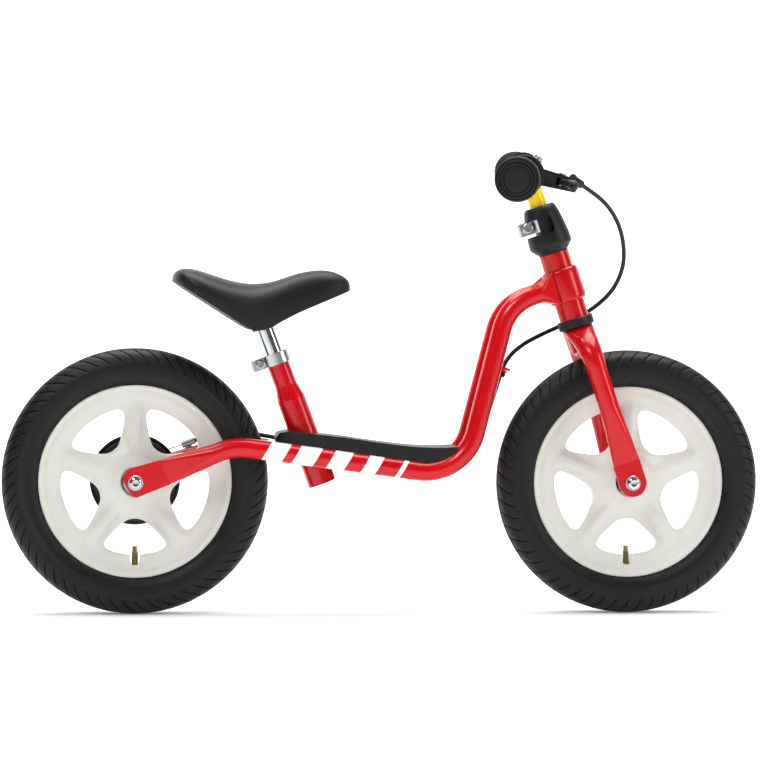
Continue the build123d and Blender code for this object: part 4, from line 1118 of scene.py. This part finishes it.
def fork_shoulder(side):
    """The pressed shoulder where one fork blade flows up into the cup."""
    rings = [
        # up the steering axis, ahead, left, half length ahead, half width
        (130.0, 1.0, 42.0, 11.3, 11.3), (134.0, 1.0, 42.0, 11.7, 11.6),
        (141.0, 1.0, 41.6, 12.0, 11.9), (149.0, 1.0, 40.0, 12.5, 12.6),
        (157.0, 0.8, 36.2, 13.2, 13.9), (164.0, 0.6, 30.6, 13.9, 15.6),
        (171.0, 0.3, 23.6, 14.7, 16.6), (177.0, 0.0, 16.2, 15.7, 15.8),
        (182.0, 0.0, 9.0, 16.9, 13.8), (184.6, 0.0, 6.0, 17.4, 12.4),
    ]
    rows = [[steer_point(1.0, side * 42.0, 129.9)] * 33]
    for up, ahead, left, long, wide in rings:
        rows.append([
            steer_point(
                ahead + long * math.cos(2 * math.pi * index / 32),
                side * (left + wide * math.sin(2 * math.pi * index / 32)),
                up,
            )
            for index in range(33)
        ])
    rows.append([steer_point(0.0, side * 6.0, 184.7)] * 33)
    piece = skin_grid(rows)
    merge_and_face(piece)
    apply_modifier(piece, "SUBSURF", levels=1, render_levels=1)
    return piece


# ------------------------------------------------------------------ brake lever


class BIKE_OT_hand_brake(bpy.types.Operator):
    """Models the hand brake: its bracket, its clamp screw and its lever blade"""

    bl_idname = "bike.hand_brake"
    bl_label = "Hand brake"

    def execute(self, context):
        axes = [LEVER_AHEAD, BAR_LEFT, LEVER_ACROSS]
        start, out = bar_end(-1)
        ring_start = start + out * (73.5 - 45) * MM
        ring = [
            (0, 11.1), (0, 15.4), (1.6, 16.6), (9.0, 17.0), (17.0, 16.6), (19.0, 15.2),
            (19.0, 11.1), (0, 11.1),
        ]
        hood = turned_mm("hood", ring, ring_start, out, 48)
        arm = block(lever_point(30, -82.0, -0.6), axes, [52, 19, 20.0])
        taper(
            arm, lever_point(8, -82, -0.6), LEVER_AHEAD, 48, (BAR_LEFT, 0.8), (LEVER_ACROSS, 0.74)
        )
        slot = block(lever_point(43, -90, -0.8), axes, [22, 20, 9.2])
        cut_away(arm, slot)
        through = [(-30, 0), (-30, 11.3), (60, 11.3), (60, 0)]
        bore = turned_mm("bore", through, ring_start, out, 48)
        cut_away(arm, bore)
        soften(arm, 1.5, 3)
        lump = block(lever_point(1, -82.0, 13.0), axes, [15, 14, 9])
        soften(lump, 3.0, 4)
        body = join(hood, arm, lump)
        hand_over(
            body, "lever_bracket_body", "handlebar", "plastic",
            ["lever_bracket"], 35,
        )
        head = [
            (0, 0), (0, 6.2), (0.8, 6.4), (1.6, 6.2), (1.7, 4.9), (4.4, 4.8), (5.0, 4.1),
            (5.1, 2.5), (3.2, 2.4), (3.1, 0),
        ]
        lean = LEVER_ACROSS + LEVER_AHEAD * 0.34
        screw = turned_mm("clamp_screw", head, lever_point(5.6, -82.5, 16.4), lean, 32)
        hand_over(screw, "lever_clamp_screw", "handlebar", "zinc")
        blade = lever_blade()
        hand_over(
            blade, "lever_blade", "brake_lever", "plastic", ["brake_lever"], 45
        )
        return {"FINISHED"}


def taper(piece, start, direction, length, *narrowings):
    """Narrows a piece along a direction: each narrowing is (axis, share left at the end)."""
    for vert in piece.data.vertices:
        away = vert.co - start
        share = max(0.0, min(1.0, away.dot(direction) / (length * MM)))
        for axis, left in narrowings:
            reach = away.dot(axis)
            vert.co -= axis * reach * (1 - left) * share


def lever_blade():
    """The lever: a slim blade that curves away from the bar and ends in a ball."""
    stations = [
        # left, ahead, half depth ahead, half height across
        (-79.5, 37.0, 3.2, 3.6), (-82.0, 37.2, 5.2, 3.8), (-86.0, 38.2, 6.0, 3.8),
        (-92.0, 41.5, 5.6, 3.9), (-98.0, 45.2, 4.6, 4.4), (-108.0, 48.6, 4.0, 5.4),
        (-124.0, 50.2, 3.7, 5.9), (-140.0, 50.6, 3.7, 5.9), (-147.0, 50.6, 3.8, 5.8),
        (-150.0, 50.6, 4.4, 6.1), (-154.5, 50.6, 5.0, 6.6), (-158.5, 50.6, 4.6, 6.1),
        (-161.2, 50.6, 2.8, 3.8), (-162.3, 50.6, 0.4, 0.4),
    ]
    rows = [[lever_point(37.0, -79.0)] * 17]
    for left, ahead, depth, height in stations:
        row = []
        for index in range(17):
            turn = 2 * math.pi * index / 16
            square = 0.62 if left > -148 else 0.78
            cosine, sine = math.cos(turn), math.sin(turn)
            row.append(
                lever_point(
                    ahead + depth * math.copysign(abs(cosine) ** square, cosine),
                    left,
                    height * math.copysign(abs(sine) ** square, sine),
                )
            )
        rows.append(row)
    rows.append([lever_point(50.6, -162.5)] * 17)
    piece = skin_grid(rows)
    merge_and_face(piece)
    apply_modifier(piece, "SUBSURF", levels=1, render_levels=1)
    return piece


# ------------------------------------------------------------------ saddle

# Along the saddle, from nose to tail: x, half width, top and lower edge (mm).
SADDLE_STATIONS = [
    (-38.4, 5.5, 373.0, 366.4),
    (-39.6, 11.5, 376.8, 365.4),
    (-42.6, 16.0, 380.2, 364.1),
    (-48.0, 20.5, 383.8, 361.8),
    (-56.0, 25.0, 387.4, 358.4),
    (-66.0, 29.0, 389.6, 354.2),
    (-82.0, 32.0, 389.0, 347.4),
    (-98.0, 35.0, 385.8, 340.6),
    (-112.0, 39.0, 380.8, 333.4),
    (-121.0, 42.0, 377.6, 328.6),
    (-129.0, 45.0, 375.5, 323.4),
    (-138.0, 48.2, 374.1, 320.4),
    (-148.0, 52.0, 373.6, 320.2),
    (-157.0, 55.0, 374.0, 323.4),
    (-167.0, 58.0, 375.4, 329.6),
    (-180.0, 61.0, 378.6, 338.0),
    (-193.0, 63.2, 382.8, 346.2),
    (-205.0, 64.0, 386.8, 353.8),
    (-216.0, 62.0, 389.8, 360.8),
    (-225.0, 57.0, 390.6, 366.6),
    (-231.5, 49.5, 389.4, 370.8),
    (-236.0, 40.5, 386.4, 374.0),
    (-238.4, 30.0, 383.0, 375.2),
    (-239.2, 18.0, 380.6, 375.7),
]


def saddle_section(x, half, top, low):
    """Half of the skin's section, from the middle of the top round to the underside."""
    depth = top - low
    return [
        (x, 0.0, top),
        (x, 0.30 * half, top - 0.012 * depth),
        (x, 0.57 * half, top - 0.06 * depth),
        (x, 0.78 * half, top - 0.16 * depth),
        (x, 0.92 * half, top - 0.33 * depth),
        (x, 0.985 * half, top - 0.53 * depth),
        (x, 1.00 * half, top - 0.72 * depth),
        (x, 0.985 * half, low + 0.10 * depth),
        (x, 0.975 * half, low + min(0.7, 0.03 * depth)),
        (x, 0.965 * half, low),
        (x, 0.945 * half, low + 0.1),
        (x, 0.86 * half, low + min(1.6, 0.12 * depth)),
        (x, 0.60 * half, low + min(4.0, 0.25 * depth)),
        (x, 0.30 * half, low + min(4.6, 0.30 * depth)),
        (x, 0.0, low + min(4.6, 0.30 * depth)),
    ]


class BIKE_OT_saddle(bpy.types.Operator):
    """Models the one-piece foam saddle and the collar under it"""

    bl_idname = "bike.saddle"
    bl_label = "Saddle"

    def execute(self, context):
        rows = []
        first, last = SADDLE_STATIONS[0], SADDLE_STATIONS[-1]
        width = 2 * len(saddle_section(*first)) - 1
        rows.append([Vector((first[0] + 0.5, 0, (first[2] + first[3]) / 2)) * MM] * width)
        for station in SADDLE_STATIONS:
            half = [Vector(point) * MM for point in saddle_section(*station)]
            mirrored = [Vector((p.x, -p.y, p.z)) for p in half[-2::-1]]
            rows.append(half + mirrored)
        rows.append([Vector((last[0] - 0.3, 0, (last[2] + last[3]) / 2)) * MM] * width)
        skin = skin_grid(rows)
        merge_and_face(skin)
        apply_modifier(skin, "SUBSURF", levels=2, render_levels=2)
        skin = hand_over(
            skin, "saddle_skin", "saddle", "skin",
            ["saddle_cushion", "saddle_base"], 60,
        )
        sleeve = [(0, 9.0), (0.2, 10.03), (14.0, 10.03), (14.0, 9.0)]
        top = SEAT_FOOT + SEAT_AXIS * 178.0 * MM
        post_top = turned_mm("seat_post_top", sleeve, top, SEAT_AXIS)
        hand_over(post_top, "seat_post_top", "saddle", "chrome")
        socket = [
            (0.0, 10.2), (0.0, 13.4), (0.8, 14.4), (2.4, 14.8), (9.0, 15.0), (9.0, 10.2),
            (0.0, 10.2),
        ]
        under = SEAT_FOOT + SEAT_AXIS * 187.6 * MM
        collar = turned_mm("saddle_collar", socket, under, SEAT_AXIS, 48)
        soften(collar, 0.5, 2)
        hand_over(collar, "saddle_collar", "saddle", "plastic")
        return {"FINISHED"}


# ------------------------------------------------------------------ cable

# The control points of the cable's route, from the lever to the rear of the frame (metres).
CABLE_FRONT = [
    (0.2085, -0.0780, 0.4890),
    (0.2265, -0.0630, 0.4795),
    (0.2479, -0.0450, 0.4659),
    (0.2650, -0.0240, 0.4462),
    (0.2753, -0.0040, 0.4219),
    (0.2779, 0.0120, 0.3946),
    (0.2673, 0.0250, 0.3670),
    (0.2430, 0.0320, 0.3450),
    (0.2130, 0.0330, 0.3295),
    (0.1840, 0.0290, 0.3170),
    (0.1600, 0.0205, 0.3045),
]
CABLE_REAR = [
    (0.1415, 0.0110, 0.2880),
    (0.1325, 0.0080, 0.2620),
    (0.1240, 0.0080, 0.2340),
    (0.1140, 0.0083, 0.2070),
    (0.0980, 0.0088, 0.1850),
    (0.0740, 0.0090, 0.1720),
    (0.0420, 0.0090, 0.1684),
    (0.0080, 0.0095, 0.1695),
    (-0.0260, 0.0130, 0.1755),
    (-0.0560, 0.0186, 0.1850),
    (-0.0880, 0.0208, 0.1920),
    (-0.1160, 0.0275, 0.1975),
    (-0.1460, 0.0325, 0.2025),
    (-0.1760, 0.0380, 0.2034),
    (-0.2040, 0.0436, 0.1976),
    (-0.2240, 0.0466, 0.1898),
]


def halfway(a, b):
    """The point between two points, where one cable piece hands over to the next."""
    return (Vector(a) + Vector(b)) / 2


def cable_piece(name, points, thickness):
    """A smooth round cord on a NURBS spline, turned into a mesh."""
    data = bpy.data.curves.new(name, "CURVE")
    data.dimensions = "3D"
    spline = data.splines.new("NURBS")
    spline.points.add(len(points) - 1)
    for place, point in zip(spline.points, points):
        place.co = (*point, 1.0)
    spline.order_u = 3
    spline.use_endpoint_u = True
    spline.resolution_u = 10
    data.bevel_depth = thickness / 2
    data.bevel_resolution = 4
    data.use_fill_caps = True
    piece = bpy.data.objects.new(name, data)
    bpy.context.scene.collection.objects.link(piece)
    pick(piece)
    bpy.ops.object.convert(target="MESH")
    return bpy.context.object


class BIKE_OT_brake_cable(bpy.types.Operator):
    """Lays the brake cable from the lever to its stop on the frame"""

    bl_idname = "bike.brake_cable"
    bl_label = "Brake cable"

    def execute(self, context):
        thickness = context.scene.bike_sizes.cable_thickness
        upper_end = halfway(CABLE_FRONT[3], CABLE_FRONT[4])
        lower_end = halfway(CABLE_REAR[0], CABLE_REAR[1])
        upper = cable_piece("cable_upper", [*CABLE_FRONT[:4], upper_end], thickness)
        lower = cable_piece(
            "cable_lower", [upper_end, *CABLE_FRONT[4:], CABLE_REAR[0], lower_end], thickness
        )
        rear = cable_piece("cable_rear", [lower_end, *CABLE_REAR[1:]], thickness)
        hand_over(upper, "cable_upper", None, "sheath", ["brake_cable_upper"])
        hand_over(lower, "cable_lower", None, "sheath", ["brake_cable_lower"])
        hand_over(rear, "cable_rear", "frame", "sheath", ["brake_cable_rear"])
        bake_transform(upper)
        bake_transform(lower)
        return {"FINISHED"}


# ------------------------------------------------------------------ paint


class BIKE_OT_paint(bpy.types.Operator):
    """Gives every CAD piece the finish of the real one"""

    bl_idname = "bike.paint"
    bl_label = "Paint"

    def execute(self, context):
        make_finishes(context.scene.bike_colours)
        for finish, names in NODE_FINISHES.items():
            for name in names:
                node = frame["nodes"][name]
                node.data.materials.clear()
                node.data.materials.append(FINISHES[finish])
        return {"FINISHED"}


# ------------------------------------------------------------------ stage


def soft_light(name, place, target, size, power):
    """A large soft box aimed at a point."""
    data = bpy.data.lights.new(name, "AREA")
    data.shape = "RECTANGLE"
    data.size, data.size_y = size
    data.energy = power
    lamp = bpy.data.objects.new(name, data)
    bpy.context.scene.collection.objects.link(lamp)
    lamp.location = place
    lamp.rotation_euler = (Vector(target) - Vector(place)).to_track_quat("-Z", "Y").to_euler()


class BIKE_OT_stage(bpy.types.Operator):
    """Sets the pale floor, the soft boxes, the sky and the camera"""

    bl_idname = "bike.stage"
    bl_label = "Stage"

    def execute(self, context):
        scene = context.scene
        deselect_all()
        sweep = paper_sweep(24.0, 5.0, 12.0, 2.5)
        finish, tree, shader = new_finish("white_paper_sweep")
        depth = add_node(
            tree, "ShaderNodeSeparateXYZ", {"Vector": surface_point(tree)}
        ).outputs["Y"]
        shifted = add_node(tree, "ShaderNodeMath", {0: depth, 1: 1.5}, operation="ADD")
        distance = add_node(
            tree, "ShaderNodeMath", {0: shifted.outputs["Value"]}, operation="ABSOLUTE"
        )
        glow = add_node(
            tree,
            "ShaderNodeMapRange",
            {
                "Value": distance.outputs["Value"],
                "From Min": 2.1,
                "From Max": 4.7,
                "To Min": 0.12,
                "To Max": 1.0,
            },
        ).outputs["Result"]
        fill_inputs(
            tree,
            shader,
            {
                "Emission Strength": glow,
                "Base Color": linear("#fbfbfb"),
                "Roughness": 0.9,
                "Emission Color": linear("#ffffff"),
            },
        )
        sweep.data.materials.append(finish)
        world = bpy.data.worlds.new("studio")
        scene.world = world
        world.use_nodes = True
        tree = world.node_tree
        background = tree.nodes["Background"]
        background.inputs["Color"].default_value = (1, 1, 1, 1)
        background.inputs["Strength"].default_value = 0.13
        soft_light("key_box", (-1.5, -2.2, 2.6), (0, 0, 0.2), (1.4, 0.9), 46)
        soft_light("top_box", (0.1, 0.3, 2.3), (0, 0, 0.0), (2.6, 1.6), 80)
        soft_light("side_box", (2.4, -1.3, 1.2), (0.1, 0, 0.25), (0.7, 1.4), 20)
        scene.view_settings.view_transform = "Standard"
        camera = bpy.data.objects.new("camera", bpy.data.cameras.new("camera"))
        scene.collection.objects.link(camera)
        place_camera(camera)
        scene.camera = camera
        return {"FINISHED"}


def paper_sweep(width, depth, front, rise):
    """A paper backdrop that lies flat under the bike and curves up behind it."""
    radius = 1.5
    turns = [math.radians(step) for step in range(0, 91, 9)]
    bend = [
        (0, depth - radius + radius * math.sin(turn), radius - radius * math.cos(turn))
        for turn in turns
    ]
    piece = start_vertex((0, -front, 0))
    extrude_along([(0, -front, 0), *bend, (0, depth, rise + radius)])
    bpy.ops.mesh.select_all(action="SELECT")
    bpy.ops.transform.translate(value=(-width / 2, 0, 0))
    bpy.ops.mesh.extrude_region_move(TRANSFORM_OT_translate={"value": (width, 0, 0)})
    bpy.ops.object.mode_set(mode="OBJECT")
    settle(piece)
    smooth(piece, 60)
    piece.name = "paper_sweep"
    return piece


def place_camera(camera):
    """Stands the camera at the right side of the bike, a little behind its middle."""
    yaw, pitch, roll = 0.0896, -0.0199, 0.0052
    ahead = Vector(
        (math.sin(yaw) * math.cos(pitch), math.cos(yaw) * math.cos(pitch), math.sin(pitch))
    )
    right = Vector((math.cos(yaw), -math.sin(yaw), 0))
    up = right.cross(ahead)
    turned_right = right * math.cos(roll) + up * math.sin(roll)
    turned_up = up * math.cos(roll) - right * math.sin(roll)
    place = Matrix((turned_right, turned_up, -ahead)).transposed().to_4x4()
    place.translation = (-0.3133, -3.5011, 0.3303)
    camera.matrix_world = place
    camera.data.sensor_width = 36.0
    camera.data.lens = 144.96
    camera.data.clip_end = 100


# ------------------------------------------------------------------ panel and registration


class BIKE_PT_panel(bpy.types.Panel):
    """Lists the bike's sizes, colours and pieces"""

    bl_idname = "BIKE_PT_panel"
    bl_label = "Balance Bike"
    bl_space_type = "VIEW_3D"
    bl_region_type = "UI"
    bl_category = "Balance Bike"

    def draw(self, context):
        layout = self.layout
        for group in (context.scene.bike_sizes, context.scene.bike_colours):
            for key in group.__annotations__:
                layout.prop(group, key)
        for operator in OPERATORS:
            layout.operator(operator.bl_idname)


GROUPS = (BikeColours, BikeSizes)
OPERATORS = (
    BIKE_OT_stage,
    BIKE_OT_paint,
    BIKE_OT_brake_cable,
    BIKE_OT_tyres,
    BIKE_OT_wheels,
    BIKE_OT_small_metal,
    BIKE_OT_grips,
    BIKE_OT_steering_cover,
    BIKE_OT_hand_brake,
    BIKE_OT_saddle,
)


def register():
    for item in (*GROUPS, *OPERATORS, BIKE_PT_panel):
        bpy.utils.register_class(item)
    bpy.types.Scene.bike_colours = PointerProperty(type=BikeColours)
    bpy.types.Scene.bike_sizes = PointerProperty(type=BikeSizes)


def unregister():
    del bpy.types.Scene.bike_sizes
    del bpy.types.Scene.bike_colours
    for item in reversed((*GROUPS, *OPERATORS, BIKE_PT_panel)):
        bpy.utils.unregister_class(item)


def main():
    register()
    for operator in OPERATORS:
        group, call = operator.bl_idname.split(".")
        getattr(getattr(bpy.ops, group), call)()


if __name__ == "__main__":
    main()
